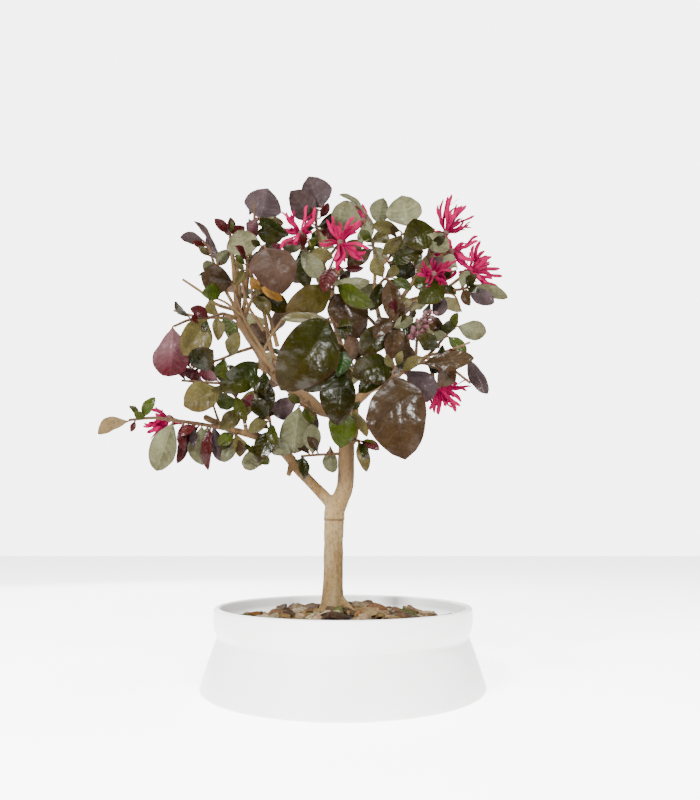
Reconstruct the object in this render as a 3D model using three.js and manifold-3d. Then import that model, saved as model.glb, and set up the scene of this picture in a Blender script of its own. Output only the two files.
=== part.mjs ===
// Loropetalum bonsai in a white pot. Millimetres, +Z up, origin at the middle of the pot's underside.
import * as THREE from "three";
import { mergeVertices } from "three/addons/utils/BufferGeometryUtils.js";
import Module from "manifold-3d";

const wasm = await Module();
wasm.setup();

// Pot
const baseRadius = 87;
const neckRadius = 77.6;
const neckHeight = 29.5;
const lipRadius = 80.6;
const potHeight = 45.7;
const lipFoot = 38;
const innerStep = 39;
const innerNeck = 34;
const wall = 4;
const floorThickness = 5;
const footRounding = 2;
const lipRounding = 1.2;
const innerRounding = 3;
const potSegments = 32;
const drainRadius = 5;
const drainRing = 30;
const drainCount = 3;
const drainSides = 12;

// Soil and the loose layer of chips on it
const seatGap = 0.3;
const moundTop = 42.4;
const moundEdge = 34.8;
const layerThickness = 3;
const chipCount = 30;
const chipRing = 70;
const chipSides = 4;

// Leaves, petals and stems
const bladeThickness = 0.8;
const petioleHalfWidth = 0.6;
const flatWidth = 10.5;
const shootEndRadius = 0.9;
const petalThickness = 0.7;
const ghostThickness = 1.5;
const ghostMargin = 0.5;
const footClearance = 1.5;
const endClearance = 1;
const rootSink = 0.7;
const rootSteps = 12;
const touching = 1e-4;
const trunkSides = 8;
const limbSides = 5;
const thinLimb = 2.5;
const twigSides = 4;
const budFootSides = 3;
const budFootRadius = 0.6;
const twigRadius = 1.2;
const tidyTolerance = 0.16;
const goldenAngle = Math.PI * (3 - Math.sqrt(5));

// Places in the crown are given as they look from this viewing point: x and z on the plane y = 0, and
// then how far behind that plane (+) or before it (-) they lie along the line of sight.
const eye = new THREE.Vector3(4.2, -400, 83.6);

function shrink(depth) {
  return (depth - eye.y) / -eye.y;
}

function seen([x, z, depth]) {
  return new THREE.Vector3(x, 0, z).sub(eye).multiplyScalar(shrink(depth)).add(eye);
}

// Kinds of leaf: colour, and whether the upper face is the one turned to the viewing point.
const kinds = {
  pale: { colour: 0x9aa085, upperSeen: false },
  purple: { colour: 0x6f6468, upperSeen: false },
  pink: { colour: 0x96626a, upperSeen: false },
  green: { colour: 0x5c6b38, upperSeen: true },
  bright: { colour: 0x356b14, upperSeen: true },
  dark: { colour: 0x35432a, upperSeen: true },
  olive: { colour: 0x6b662f, upperSeen: true },
  bronze: { colour: 0x5a4436, upperSeen: true },
  maroon: { colour: 0x5c1f2a, upperSeen: true },
  withered: { colour: 0xc79f5c, upperSeen: true },
};

// Wood of the tree, thick to thin: [x, z, depth, radius] along each limb.
const wood = {
  trunk: [[-7, 22, 0, 7], [-7, 33, 0, 7.6], [-7, 44, 0, 7.6], [-6.8, 55, 0, 6.8], [-6.6, 68, 0, 6.4],
    [-6.5, 84, 0, 6.3], [-6.3, 98, 0, 6.9], [-5.8, 107, 0, 6.7], [-4.6, 114, 0, 5.8]],
  rootRight: [[-4, 52, -1, 2.8], [0.5, 47, -2, 2.4], [5, 42.5, -3, 1.9], [9, 38, -4, 1.3]],
  rootLeft: [[-9, 51, 1, 2.8], [-13, 44.5, 3, 2.4], [-17, 37, 5, 1.4]],
  rootBack: [[-6, 51, 3, 3], [-5, 45, 8, 2.6], [-3, 37, 12, 1.4]],
  mainStem: [[-5.2, 105, 0, 5.8], [-2.6, 111.5, -1, 6], [0.9, 121, -2, 5.7], [1.6, 140, -3, 5.6],
    [2.1, 160, -3, 5.5], [3.4, 171, -2, 5.3], [5, 179, 0, 4.3]],
  thinStick: [[3, 146, -4, 1.4], [8, 153, -7, 1.2], [9, 177, -7, 1.1]],
  lowArm: [[-6, 107, 0, 4.2], [-19, 120.5, -4, 3.6], [-30, 131.5, -7, 3.6], [-41, 144.5, -10, 3.5],
    [-52, 152, -12, 3], [-68, 157, -14, 2.4], [-80, 160, -15, 1.9]],
  armKnob: [[-35, 137, -9, 2.4], [-37, 128, -12, 1.8]],
  armStub: [[-75, 158, -14, 2.5], [-86, 163.5, -8, 2.5], [-95, 168, -2, 2.3]],
  armBudTwig: [[-84, 161, -13, 1.2], [-88, 171, -6, 0.9], [-92, 182, -4, 0.7]],
  leftLimb: [[3, 169, -1, 4.2], [-8, 171, 3, 4.2], [-17, 173.5, 3, 4.2], [-24, 180, 2, 4.5], [-36, 188, 0, 4],
    [-50, 199.5, -4, 3.4], [-62, 218, -7, 3.1], [-73, 235, -9, 2.9], [-78, 247, -9, 2.5]],
  fanStout: [[-76, 243, -9, 2.2], [-78, 258, -9, 2.1], [-80, 275, -8, 1.9], [-83, 296, -7, 1.6]],
  fanMiddle: [[-73, 238, -9, 1.9], [-71, 258, -5, 1.6], [-69.5, 280, -4, 1.4], [-68, 300, -5, 1.4]],
  fanSide: [[-71, 256, -6, 1.4], [-74, 274, -1, 1.2], [-78, 292, 1, 1]],
  bareLeft: [[-77, 246, -9, 1.3], [-92, 251, -4, 1.3], [-100, 258, -2, 1.2], [-117, 270, 0, 1]],
  bareLower: [[-76, 240, -10, 1.3], [-100, 241, -4, 1.1], [-108, 242, -3, 1], [-122, 246, -2, 0.8]],
  middleLimb: [[4, 174, 0, 3.8], [2, 190, 8, 3.2], [0, 204, 13, 2.8], [-4, 225, 16, 2.5], [-8, 248, 14, 2.2],
    [-12, 268, 10, 1.9], [-16, 286, 6, 1.6]],
  rightLimb: [[5, 176, -1, 4], [18, 188, -5, 3.5], [37, 199, -8, 3.6], [44, 213, -5, 2.6], [43, 236, 0, 2.2],
    [42, 255, 2, 2], [50, 268, 2, 1.8], [56, 280, 1, 1.5]],
  innerLimb: [[36, 197, -8, 2.4], [31, 214, -7, 2], [28, 228, -4, 1.9], [24, 246, 0, 1.7], [22, 263, 2, 1.5],
    [22.5, 280, 2, 1.3]],
  innerSide: [[28, 228, -4, 1.5], [20, 238, 0, 1.4], [10, 248, 4, 1.2]],
  fanInner: [[-46, 197, -3, 1.9], [-52, 220, 2, 1.7], [-57, 243, 3, 1.4], [-62, 264, 1, 1.1]],
  fanThin: [[-75, 240, -7, 1.5], [-75.5, 262, 2, 1.3], [-78.5, 284, 5, 1.1], [-79, 302, 5, 0.9]],
  farLimb: [[42, 252, 2, 1.7], [58, 257, 1, 1.6], [72, 261, -1, 1.4]],
  thornLong: [[70, 260, -1, 1.1], [79, 258, -4, 0.9], [84, 245, -5, 0.6]],
  lowerRight: [[38, 199, -8, 2.4], [50, 206, -19, 2], [59, 212, -24, 1.6]],
  bareRight: [[57, 211, -23, 1.2], [73, 204, -18, 1], [88, 192, -16, 0.8]],
  bareFork: [[58, 212, -24, 1.1], [74, 216, -30, 0.9], [89, 222, -32, 0.7]],
  frontLimb: [[2, 192, 8, 2.4], [2, 206, -18, 1.9], [0, 214, -36, 1.6]],
};

// Leafy shoots: the woody twig that carries the shoot [x, z, depth], the shoot beyond it, and its leaves
// [base x, z, depth, tip x, z, depth, width, turn about the midrib in degrees, kind].
const shoots = [
  { name: "spray_front_low", radius: 1.5, twig: [[2, 210, -30], [3, 208, -40]],
    shoot: [[2, 207, -48], [-2, 204, -54]],
    leaves: [[-3, 201, -56, -5, 163, -64, 26, 8, "dark"], [-1, 216, -50, -4, 198, -62, 13, 15, "bright"],
      [2, 208, -46, -28, 187, -42, 17, 12, "dark"]] },
  { name: "spray_front_big", radius: 1.5, twig: [[0, 213, -34], [-3, 224, -50]],
    shoot: [[-6, 232, -66], [-8, 238, -78]],
    leaves: [[-11, 240, -82, -43, 188, -95, 41, 6, "dark"],
      [-6, 236, -70, -46, 240, -74, 13, 50, "olive"]] },
  { name: "spray_front_bronze", radius: 1.6, twig: [[37, 199, -10], [36.5, 202, -34]],
    shoot: [[36, 203, -52], [35, 200, -70]],
    leaves: [[34, 198, -74, 41, 140, -88, 42, 6, "bronze"], [33, 206, -52, 6, 198, -62, 24, 10, "bronze"],
      [36, 203, -48, 10, 186, -50, 15, 15, "dark"]] },
  { name: "spray_fan_mauve", radius: 1.2, twig: [[-69.5, 278, -4], [-64, 289, -11]],
    shoot: [[-61, 295, -18], [-59, 297, -24]],
    leaves: [[-58, 295, -27, -45, 260, -36, 34, 8, "bronze"],
      [-60, 292, -14, -46, 299, -10, 11, 20, "pink"]] },
  { name: "spray_arm_end", radius: 1.6, twig: [[-79, 159.8, -14.9], [-86, 161, -15.5]],
    shoot: [[-100, 163.5, -17], [-118, 166, -19], [-130, 167.5, -20], [-147, 166, -21]],
    leaves: [[-148, 165, -21, -168, 157, -22, 12, 30, "withered"],
      [-117, 164, -20, -126, 131, -24, 19, 8, "pale"],
      [-110, 163, -19, -109, 146, -22, 7, 15, "maroon"], [-103, 162, -18, -102, 147, -21, 6, 20, "purple"],
      [-97, 161, -17, -94, 137, -23, 17, 10, "pale"], [-93, 161, -16, -99, 143, -12, 11, 25, "pale"],
      [-106, 163, -17, -110, 135, -13, 8, 20, "maroon"], [-91, 161, -16, -93, 132, -11, 8, 25, "maroon"],
      [-89, 161, -16, -84, 136, -18, 13, 15, "purple"],
      [-138, 168, -20, -131, 182, -24, 8, 20, "green"], [-136, 167, -20, -144, 172, -26, 6, 20, "green"],
      [-143, 165, -21, -145, 158, -23, 4, 10, "maroon"]] },
  { name: "spray_arm_olive", radius: 1.3, twig: [[-66, 156.5, -14], [-67.5, 163, -15]],
    shoot: [[-71, 174, -17], [-76, 184, -19], [-83, 188, -20]],
    leaves: [[-86, 188, -20, -110, 175, -24, 22, 12, "olive"],
      [-72, 173, -17, -84, 160, -24, 13, 15, "olive"],
      [-69, 167, -15, -62, 187, -21, 12, 20, "olive"], [-75, 182, -18, -67, 166, -27, 10, 25, "green"],
      [-73, 179, -17, -89, 180, -14, 13, 20, "green"],
      [-77, 186, -18, -79, 202, -14, 10, 30, "dark"]] },
  { name: "spray_arm_under", radius: 1, twig: [[-73, 158, -15], [-73.5, 153, -17]],
    shoot: [[-73.5, 149, -18]],
    leaves: [[-72, 155, -18, -70, 141, -24, 10, 15, "olive"],
      [-75, 153, -18, -79, 136, -15, 10, 25, "pale"], [-75, 156, -17, -85, 149, -21, 10, 20, "green"]] },
  { name: "spray_arm_middle", radius: 1, twig: [[-59, 154, -13], [-60, 149, -15]],
    shoot: [[-61, 146, -16]],
    leaves: [[-62, 147, -17, -63, 131, -22, 13, 10, "pale"],
      [-58, 147, -16, -52, 134, -14, 9, 20, "green"]] },
  { name: "spray_arm_inner", radius: 1.2, twig: [[-48, 150, -11], [-49, 156, -14]],
    shoot: [[-50, 162, -16], [-51, 168, -17]],
    leaves: [[-49, 159, -16, -58, 137, -23, 14, 12, "dark"], [-50, 163, -16, -43, 148, -22, 9, 25, "green"],
      [-52, 169, -17, -57, 196, -15, 15, 20, "dark"], [-53, 167, -18, -63, 181, -23, 13, 15, "dark"],
      [-52, 165, -18, -65, 158, -22, 10, 20, "olive"], [-47, 156, -14, -44, 136, -24, 13, 10, "pale"]] },
  { name: "spray_trunk_left", radius: 1.1, twig: [[1, 143, -3], [-8, 142.5, -9]],
    shoot: [[-18, 142, -12], [-29, 141, -14]],
    leaves: [[-28, 141, -14, -26, 126, -18, 8, 15, "dark"], [-9, 147, -8, -7, 131, -15, 11, 12, "pale"],
      [-21, 143, -12, -22, 163, -14, 13, 8, "pale"]] },
  { name: "spray_stem_front", radius: 1.1, twig: [[2, 167, -4], [1.5, 173, -13]],
    shoot: [[0, 176, -18]],
    leaves: [[-1, 175, -20, -2, 147, -24, 20, 6, "green"], [6, 173, -17, 16, 155, -22, 9, 30, "olive"]] },
  { name: "spray_stem_right", radius: 1, twig: [[2, 150, -3], [8, 151.5, -10]],
    shoot: [[10, 152, -13]],
    leaves: [[10, 150, -13, 15.5, 131, -17, 9, 12, "olive"]] },
  { name: "spray_limb_low", radius: 1.2, twig: [[-24, 181, 1], [-27, 178, -6]],
    shoot: [[-29, 176, -10]],
    leaves: [[-31, 175, -11, -41, 146, -18, 24, 8, "pale"], [-25, 175, -8, -18, 158, -6, 13, 20, "purple"],
      [-33, 179, -8, -51, 173, -4, 17, 25, "purple"]] },
  { name: "spray_left_low", radius: 1.3, twig: [[-50, 201, -4], [-58, 203, -12]],
    shoot: [[-70, 198, -18], [-85, 192.5, -22], [-100, 193, -24], [-113, 194, -26]],
    leaves: [[-60, 207, -15, -86, 187, -26, 21, 12, "dark"], [-56, 200, -16, -56, 184, -22, 9, 15, "dark"],
      [-62, 199, -15, -63, 182, -22, 8, 20, "dark"], [-88, 194, -22, -101, 201, -27, 9, 15, "pink"],
      [-111, 195, -25, -116, 207, -26, 6, 20, "maroon"], [-95, 194, -23, -104, 183, -20, 10, 30, "green"],
      [-99, 194, -24, -113, 202, -22, 9, 20, "pink"]] },
  { name: "spray_left_drop", radius: 1.3, twig: [[-75, 240, -9], [-85, 243, -18]],
    shoot: [[-98, 240, -25], [-110, 239, -29], [-121, 234, -31]],
    leaves: [[-98, 239, -26, -113, 213, -35, 23, 8, "olive"],
      [-122, 233, -31, -121, 196, -38, 27, 10, "pink"],
      [-97, 241, -26, -110, 248, -31, 9, 20, "maroon"], [-91, 240, -23, -89, 224, -30, 10, 15, "olive"],
      [-86, 241, -19, -78, 222, -26, 11, 20, "green"],
      [-90, 243, -20, -99, 252, -12, 10, 20, "olive"]] },
  { name: "spray_left_inner", radius: 1.2, twig: [[-62, 219, -7], [-74, 215, -16]],
    shoot: [[-88, 209, -22], [-104, 205, -26]],
    leaves: [[-107, 205, -26, -90, 215, -34, 19, 12, "dark"],
      [-108, 204, -26, -114, 215, -28, 6, 15, "maroon"],
      [-80, 212, -19, -72, 230, -26, 12, 20, "olive"], [-84, 210, -20, -80, 193, -14, 11, 20, "green"]] },
  { name: "spray_fan_left", radius: 1.3, twig: [[-77, 246, -9], [-86, 262, -8]],
    shoot: [[-92, 273, -8], [-96, 285, -9], [-99, 294, -9], [-104, 300, -10]],
    leaves: [[-81, 268, -11, -104, 272, -19, 22, 6, "bronze"],
      [-104, 301, -10, -121, 304, -12, 10, 20, "purple"],
      [-98, 294, -9, -111, 317, -12, 9, 60, "purple"], [-90, 283, -8, -101, 306, -2, 10, 45, "purple"],
      [-93, 281, -9, -84, 293, -4, 10, 15, "pale"], [-95, 283, -10, -103, 278, -14, 9, 25, "pale"],
      [-89, 262, -12, -98, 251, -17, 12, 20, "green"]] },
  { name: "spray_fan_top", radius: 1.4, twig: [[-82, 292, -7], [-84, 303, -7]],
    shoot: [[-84.5, 307, -7]],
    leaves: [[-84, 307, -8, -74, 312, -12, 9, 15, "maroon"],
      [-84, 306, -7, -91, 314, -4, 8, 20, "purple"]] },
  { name: "spray_fan_fold", radius: 1.2, twig: [[-71, 256, -6], [-71, 272, -14]],
    shoot: [[-71, 286, -18]],
    leaves: [[-71, 288, -19, -69, 310, -24, 26, 4, "pale"], [-70, 282, -17, -60, 290, -12, 10, 15, "dark"],
      [-73, 277, -18, -79, 266, -25, 8, 20, "olive"]] },
  { name: "spray_fan_high", radius: 1.4, twig: [[-68.3, 296, -5], [-67.5, 308, -5]],
    shoot: [[-67, 320, -5], [-68, 333, -5]],
    leaves: [[-63, 319, -6, -58, 344, -9, 30, 6, "purple"], [-65, 319, -7, -71, 304, -13, 12, 20, "pink"],
      [-64, 319, -5, -42, 305, -9, 13, 20, "dark"],
      [-65, 314, -4, -45, 316, 2, 10, 25, "olive"],
      [-65, 308, -4, -44, 300, -2, 13, 20, "dark"]] },
  { name: "spray_yellow", radius: 1.1, twig: [[-72, 242, -9], [-66, 255, -15]],
    shoot: [[-61, 262, -18]],
    leaves: [[-60, 264, -19, -45, 254, -26, 9, 20, "withered"],
      [-64, 257, -16, -54, 243, -22, 12, 20, "olive"], [-62, 258, -14, -40, 246, -4, 15, 20, "dark"],
      [-60, 262, -18, -68, 271, -23, 8, 15, "withered"]] },
  { name: "spray_top", radius: 1.4, twig: [[-16, 285, 6], [-19, 304, 4]],
    shoot: [[-21, 316, 2], [-20, 327, 1]],
    leaves: [[-17, 328, 0, -27, 354, -4, 26, 5, "purple"], [-22, 317, 1, -39, 341, -2, 22, 8, "purple"],
      [-18, 320, 0, -12, 332, -8, 7, 15, "maroon"], [-20, 312, 3, -6, 322, 10, 11, 30, "dark"],
      [-18, 309, 3, 0, 302, 4, 10, 15, "maroon"]] },
  { name: "spray_middle_left", radius: 1.3, twig: [[-13, 272, 9], [-24, 287, 4]],
    shoot: [[-30, 296, 1]],
    leaves: [[-31, 294, -1, -17, 271, -10, 15, 8, "pale"], [-32, 293, 1, -28, 264, 3, 13, 15, "dark"],
      [-26, 292, 1, -11, 290, -8, 11, 20, "olive"], [-30, 297, 2, -44, 302, 8, 12, 20, "pale"],
      [-26, 297, 1, -19, 313, 5, 11, 20, "dark"], [-23, 288, 3, -36, 261, 8, 17, 20, "bronze"]] },
  { name: "spray_middle_front", radius: 1.3, twig: [[-9, 253, 14], [-8, 262, 2]],
    shoot: [[-6, 268, -6], [-4, 275, -12]],
    leaves: [[-9, 279, -13, -15, 261, -19, 12, 5, "maroon"], [-10, 267, -8, 19, 268, -14, 10, 18, "pale"],
      [-9, 263, -4, -41, 246, -16, 23, 12, "olive"], [-5, 265, -7, 21, 249, -18, 15, 15, "bright"],
      [-7, 259, 2, 12, 226, -6, 30, 12, "bronze"],
      [0, 279, -12, 14, 279, -16, 6, 20, "maroon"]] },
  { name: "spray_middle_top", radius: 1.2, twig: [[22.5, 277, 2], [22, 290, 2]],
    shoot: [[20, 302, 1], [15, 314, 0]],
    leaves: [[13, 317, -1, -10, 323, -6, 27, 10, "pale"], [17, 318, 0, 13, 299, -7, 11, 15, "pale"],
      [17, 321, 1, -3, 340, 2, 9, 62, "pale"], [25, 315, 0, 29, 336, -4, 16, 8, "pale"],
      [20, 300, 2, 33, 306, 9, 11, 20, "olive"], [20, 293, 3, 2, 281, 6, 13, 15, "bronze"],
      [20, 303, 2, 10, 333, 3, 12, 10, "pale"],
      [22, 296, 2, 31, 284, 6, 12, 20, "pale"]] },
  { name: "spray_right_high", radius: 1.2, twig: [[22.5, 276, 2], [31, 285, 1]],
    shoot: [[37, 296, 0], [43, 307, -1]],
    leaves: [[47, 313, -2, 43, 338, -7, 29, 6, "pale"], [41, 309, -1, 21, 314, -6, 11, 15, "olive"],
      [28, 290, -1, 43, 304, -10, 12, 20, "olive"], [34, 283, -4, 58, 293, -12, 14, 20, "dark"],
      [32, 284, 1, 52, 274, 6, 15, 15, "dark"]] },
  { name: "spray_right_dark", radius: 1.2, twig: [[55, 278, 1], [60, 287, -3]],
    shoot: [[63, 297, -7], [65, 306, -9]],
    leaves: [[66, 311, -10, 44, 299, -17, 24, 10, "dark"], [57, 304, -13, 75, 294, -20, 15, 10, "pale"],
      [64, 294, -6, 76, 301, -2, 10, 20, "purple"]] },
  { name: "spray_right_side", radius: 1.2, twig: [[58, 257, 1], [65, 263, -6]],
    shoot: [[72, 268, -9], [79, 277, -10]],
    leaves: [[72, 267, -10, 54, 252, -19, 18, 10, "green"], [70, 269, -8, 50, 266, -5, 14, 15, "green"],
      [82, 280, -10, 73, 288, -14, 11, 12, "pale"],
      [69, 262, -11, 68, 241, -17, 12, 10, "purple"], [76, 274, -9, 62, 286, -3, 12, 15, "purple"]] },
  { name: "spray_right_end", radius: 1.1, twig: [[71, 260.5, -1], [82, 262, -5]],
    shoot: [[90, 264, -7]],
    leaves: [[89, 261, -8, 108, 252, -12, 12, 10, "purple"], [85, 264, -7, 90, 277, -14, 9, 15, "pale"],
      [94, 266, -6, 119, 268, -4, 10, 20, "pale"], [86, 262, -7, 90, 250, -10, 8, 20, "bronze"]] },
  { name: "spray_hanging", radius: 1.1, twig: [[22, 262, 2], [27, 268, -5]],
    shoot: [[31, 271, -10]],
    leaves: [[32, 270, -11, 36, 238, -18, 15, 10, "bronze"], [36, 271, -10, 48, 262, -16, 9, 25, "green"],
      [28, 272, -9, 21, 287, -16, 12, 20, "olive"],
      [27, 267, -6, 19, 246, -8, 12, 15, "dark"]] },
  { name: "spray_lower_right", radius: 1.2, twig: [[59, 212, -24], [66, 220, -23]],
    shoot: [[73, 228, -22], [79, 233, -22]],
    leaves: [[81, 234, -22, 101, 229, -28, 15, 10, "pale"], [68, 229, -23, 80, 239, -28, 8, 15, "dark"],
      [63, 222, -25, 71, 230, -32, 8, 15, "pale"], [74, 226, -23, 86, 214, -26, 10, 25, "green"],
      [66, 219, -23, 52, 224, -18, 13, 15, "dark"], [66, 218, -24, 49, 214, -29, 12, 15, "dark"],
      [72, 229, -21, 62, 240, -14, 11, 20, "bronze"]] },
  { name: "spray_lower_long", radius: 1.2, twig: [[50, 206, -19], [55, 207, -32]],
    shoot: [[66, 208, -37], [80, 209, -36]],
    leaves: [[56, 206, -37, 91, 211, -48, 15, 20, "bronze"], [87, 210, -36, 99, 184, -38, 12, 20, "purple"],
      [77, 207, -36, 66, 190, -34, 15, 20, "bronze"]] },
  { name: "spray_lower_inner", radius: 1.1, twig: [[43, 202, -12], [42.5, 200, -28]],
    shoot: [[43, 199, -38]],
    leaves: [[44, 201, -40, 62, 181, -48, 22, 10, "purple"], [41, 201, -40, 55, 211, -50, 9, 20, "olive"],
      [44, 204, -32, 41, 222, -44, 14, 15, "bronze"]] },
  { name: "spray_right_mid", radius: 1.1, twig: [[43, 232, -1], [38, 236, -10]],
    shoot: [[36, 239, -16]],
    leaves: [[35, 233, -16, 45, 246, -24, 10, 15, "pale"], [34, 240, -16, 22, 228, -24, 13, 15, "bronze"],
      [40, 238, -13, 52, 228, -12, 11, 20, "dark"], [37, 244, -14, 47, 256, -6, 10, 20, "olive"],
      [37, 236, -12, 34, 210, -14, 15, 12, "bronze"], [36, 236, -12, 11, 215, -14, 20, 12, "dark"]] },
];

// Shoots on the far side. Their leaves are set round them by rule.
const farShoots = [
  { name: "spray_back_top", twig: [[-8, 248, 14], [1, 255, 30]], shoot: [[8, 262, 44], [13, 269, 56]] },
  { name: "spray_back_left", twig: [[-49, 201, -3], [-50, 212, 18]], shoot: [[-52, 220, 34], [-56, 228, 48]] },
  { name: "spray_back_fan", twig: [[-72, 235, -8], [-69, 246, 12]], shoot: [[-66, 254, 26], [-62, 262, 40]] },
  { name: "spray_back_inner", twig: [[28, 229, -3], [34, 231, 16]], shoot: [[40, 234, 32], [46, 238, 46]] },
  { name: "spray_back_far", twig: [[60, 257, 1], [62, 253, 18]], shoot: [[64, 256, 34], [66, 261, 48]] },
  { name: "spray_back_low", twig: [[1, 200, 12], [4, 203, 30]], shoot: [[7, 205, 46], [10, 208, 60]] },
  { name: "spray_back_limb", twig: [[-35, 190, 1], [-36, 196, 20]], shoot: [[-38, 203, 36], [-40, 210, 50]] },
  { name: "spray_back_high", twig: [[-13, 272, 10], [-10, 280, 24]], shoot: [[-7, 288, 36], [-4, 296, 46]] },
  { name: "spray_back_corner", twig: [[50, 268, 2], [50, 275, 18]], shoot: [[50, 283, 32], [51, 291, 44]] },
];
const farLeafCount = 3;
const farLeafLength = 25;

// Flower heads: the twig that carries the head [x, z, depth], the head's own place, and the tips of the
// petals that show [x, z, depth]; the others are set round the head by rule. One head stands on a shoot, and
// its twig only points out of that shoot's middle.
const blooms = [
  { name: "bloom_arm", onShoot: true, twig: [[-113, 165.3, -18.4], [-113, 165.4, -17.2]],
    head: [-120, 167, -12], hangs: true,
    tips: [[-132, 174, -16], [-137, 161, -18], [-134, 157, -10], [-131, 152, -16], [-127, 152, -8]] },
  { name: "bloom_centre_left", twig: [[-15.5, 284, 6], [-27, 301, -2]], head: [-32, 307, -6],
    tips: [[-48, 325, -10], [-44, 321, -16], [-20, 327, -12], [-24, 318, -18], [-48, 294, -10],
      [-49, 310, -4], [-38, 298, -14]] },
  { name: "bloom_centre", twig: [[-15.5, 282, 6], [-7, 294, -1]], head: [-3, 299, -5],
    tips: [[-9, 321, -10], [-8, 316, -3], [6, 321, -8], [13, 316, -12], [16, 289, -14], [13, 286, -6],
      [-18, 298, -12], [-2, 274, -10], [-5, 278, -4]] },
  { name: "bloom_right_top", twig: [[56, 280, 1], [71, 302, 3]], head: [75, 307, 2],
    tips: [[75, 336, 0], [79, 339, -4], [85, 329, 4], [91, 331, -2], [97, 321, -6], [94, 313, 0],
      [83, 322, -8], [78, 292, -2]] },
  { name: "bloom_right_middle", twig: [[56, 279, 1], [73, 290, -2]], head: [79, 292, -4],
    tips: [[99, 304, -8], [94, 285, -6], [88, 300, -12], [92, 276, -2]] },
  { name: "bloom_right_end", twig: [[71, 260.5, -1], [85, 272, 1]], head: [91, 276, 0],
    tips: [[103, 292, 2], [100, 301, -4], [108, 288, -8], [113, 280, 0], [115, 273, -8], [110, 263, -4],
      [104, 267, -12], [107, 284, 6]] },
  { name: "bloom_right_shade", twig: [[57, 257, 1], [62, 262, 9]], head: [67, 267, 12],
    tips: [[66, 286, 8], [70, 284, 14], [82, 276, 8], [55, 277, 10], [58, 272, 18], [76, 280, 16]] },
  { name: "bloom_low_right", twig: [[59, 211.5, -24], [62, 197, -27]], head: [65, 190, -28], hangs: true,
    tips: [[78, 196, -32], [88, 188, -30], [82, 180, -26], [75, 178, -34], [77, 172, -28], [66, 170, -30],
      [59, 173, -26]] },
];
const petalWidth = 3.4;
const petalLength = 19;
const petalCount = 9;
const petalRoot = 1.5;
const calyxRadius = 3;

// The bunch of small buds.
const budTwig = [[50, 206, -20], [51, 218, -25]];
const budStalk = [[52, 226, -27], [56, 236, -29], [62, 244, -30]];
const budCount = 12;
const budRadius = 1.9;
const budStalkRadius = 1.1;
const budReach = [5.5, 3.2];

// The same draw every time, from 0 to 1.
function draw(seed) {
  const value = Math.sin(seed * 12.9898) * 43758.5453;
  return value - Math.floor(value);
}

function mix(a, b, share) {
  return a + (b - a) * share;
}

// A closed three.js geometry as a solid, its faces turned outwards.
function solidOf(geometry) {
  const bare = geometry.index ? geometry.toNonIndexed() : geometry.clone();
  bare.deleteAttribute("normal");
  bare.deleteAttribute("uv");
  const merged = mergeVertices(bare, touching);
  const place = merged.attributes.position;
  const corners = [new THREE.Vector3(), new THREE.Vector3(), new THREE.Vector3()];
  const triVerts = new Uint32Array(merged.index.array);
  let volume = 0;
  for (let i = 0; i < triVerts.length; i += 3) {
    corners.forEach((corner, k) => corner.fromBufferAttribute(place, triVerts[i + k]));
    volume += corners[0].dot(corners[1].clone().cross(corners[2]));
  }
  if (volume < 0) triVerts.reverse();
  return new wasm.Manifold(new wasm.Mesh({ numProp: 3, vertProperties: place.array, triVerts }));
}

// The main body of a solid: a sealed hollow is filled and a loose scrap is dropped.
function mainBody(solid) {
  return solid.decompose().reduce((largest, body) => (body.volume() > largest.volume() ? body : largest));
}

function fuse(solids) {
  return mainBody(solids.reduce((whole, piece) => whole.add(piece)));
}

function lathe(profile, segments) {
  const shape = new THREE.LatheGeometry(profile.map(([r, z]) => new THREE.Vector2(r, z)), segments);
  return solidOf(shape.rotateX(Math.PI / 2));
}

// A tapered stem of round section through the points, closed at both ends.
function stem(points, radii, sides, steps) {
  const curve = new THREE.CatmullRomCurve3(points, false, "centripetal");
  const frames = curve.computeFrenetFrames(steps, false);
  const place = [];
  const index = [];
  for (let i = 0; i <= steps; i++) {
    const along = curve.getUtoTmapping(i / steps) * (points.length - 1);
    const before = Math.min(Math.floor(along), points.length - 2);
    const radius = mix(radii[before], radii[before + 1], along - before);
    const middle = curve.getPointAt(i / steps);
    for (let k = 0; k < sides; k++) {
      const angle = (2 * Math.PI * k) / sides;
      const spoke = middle.clone()
        .addScaledVector(frames.normals[i], radius * Math.cos(angle))
        .addScaledVector(frames.binormals[i], radius * Math.sin(angle));
      place.push(spoke.x, spoke.y, spoke.z);
    }
  }
  for (let i = 0; i < steps; i++)
    for (let k = 0; k < sides; k++) {
      const a = i * sides + k;
      const b = i * sides + ((k + 1) % sides);
      index.push(a, b, a + sides, b, b + sides, a + sides);
    }
  const last = steps * sides;
  for (let k = 1; k < sides - 1; k++) {
    index.push(0, k + 1, k);
    index.push(last, last + k, last + k + 1);
  }
  const geometry = new THREE.BufferGeometry();
  geometry.setAttribute("position", new THREE.Float32BufferAttribute(place, 3));
  geometry.setIndex(index);
  return solidOf(geometry);
}

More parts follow.
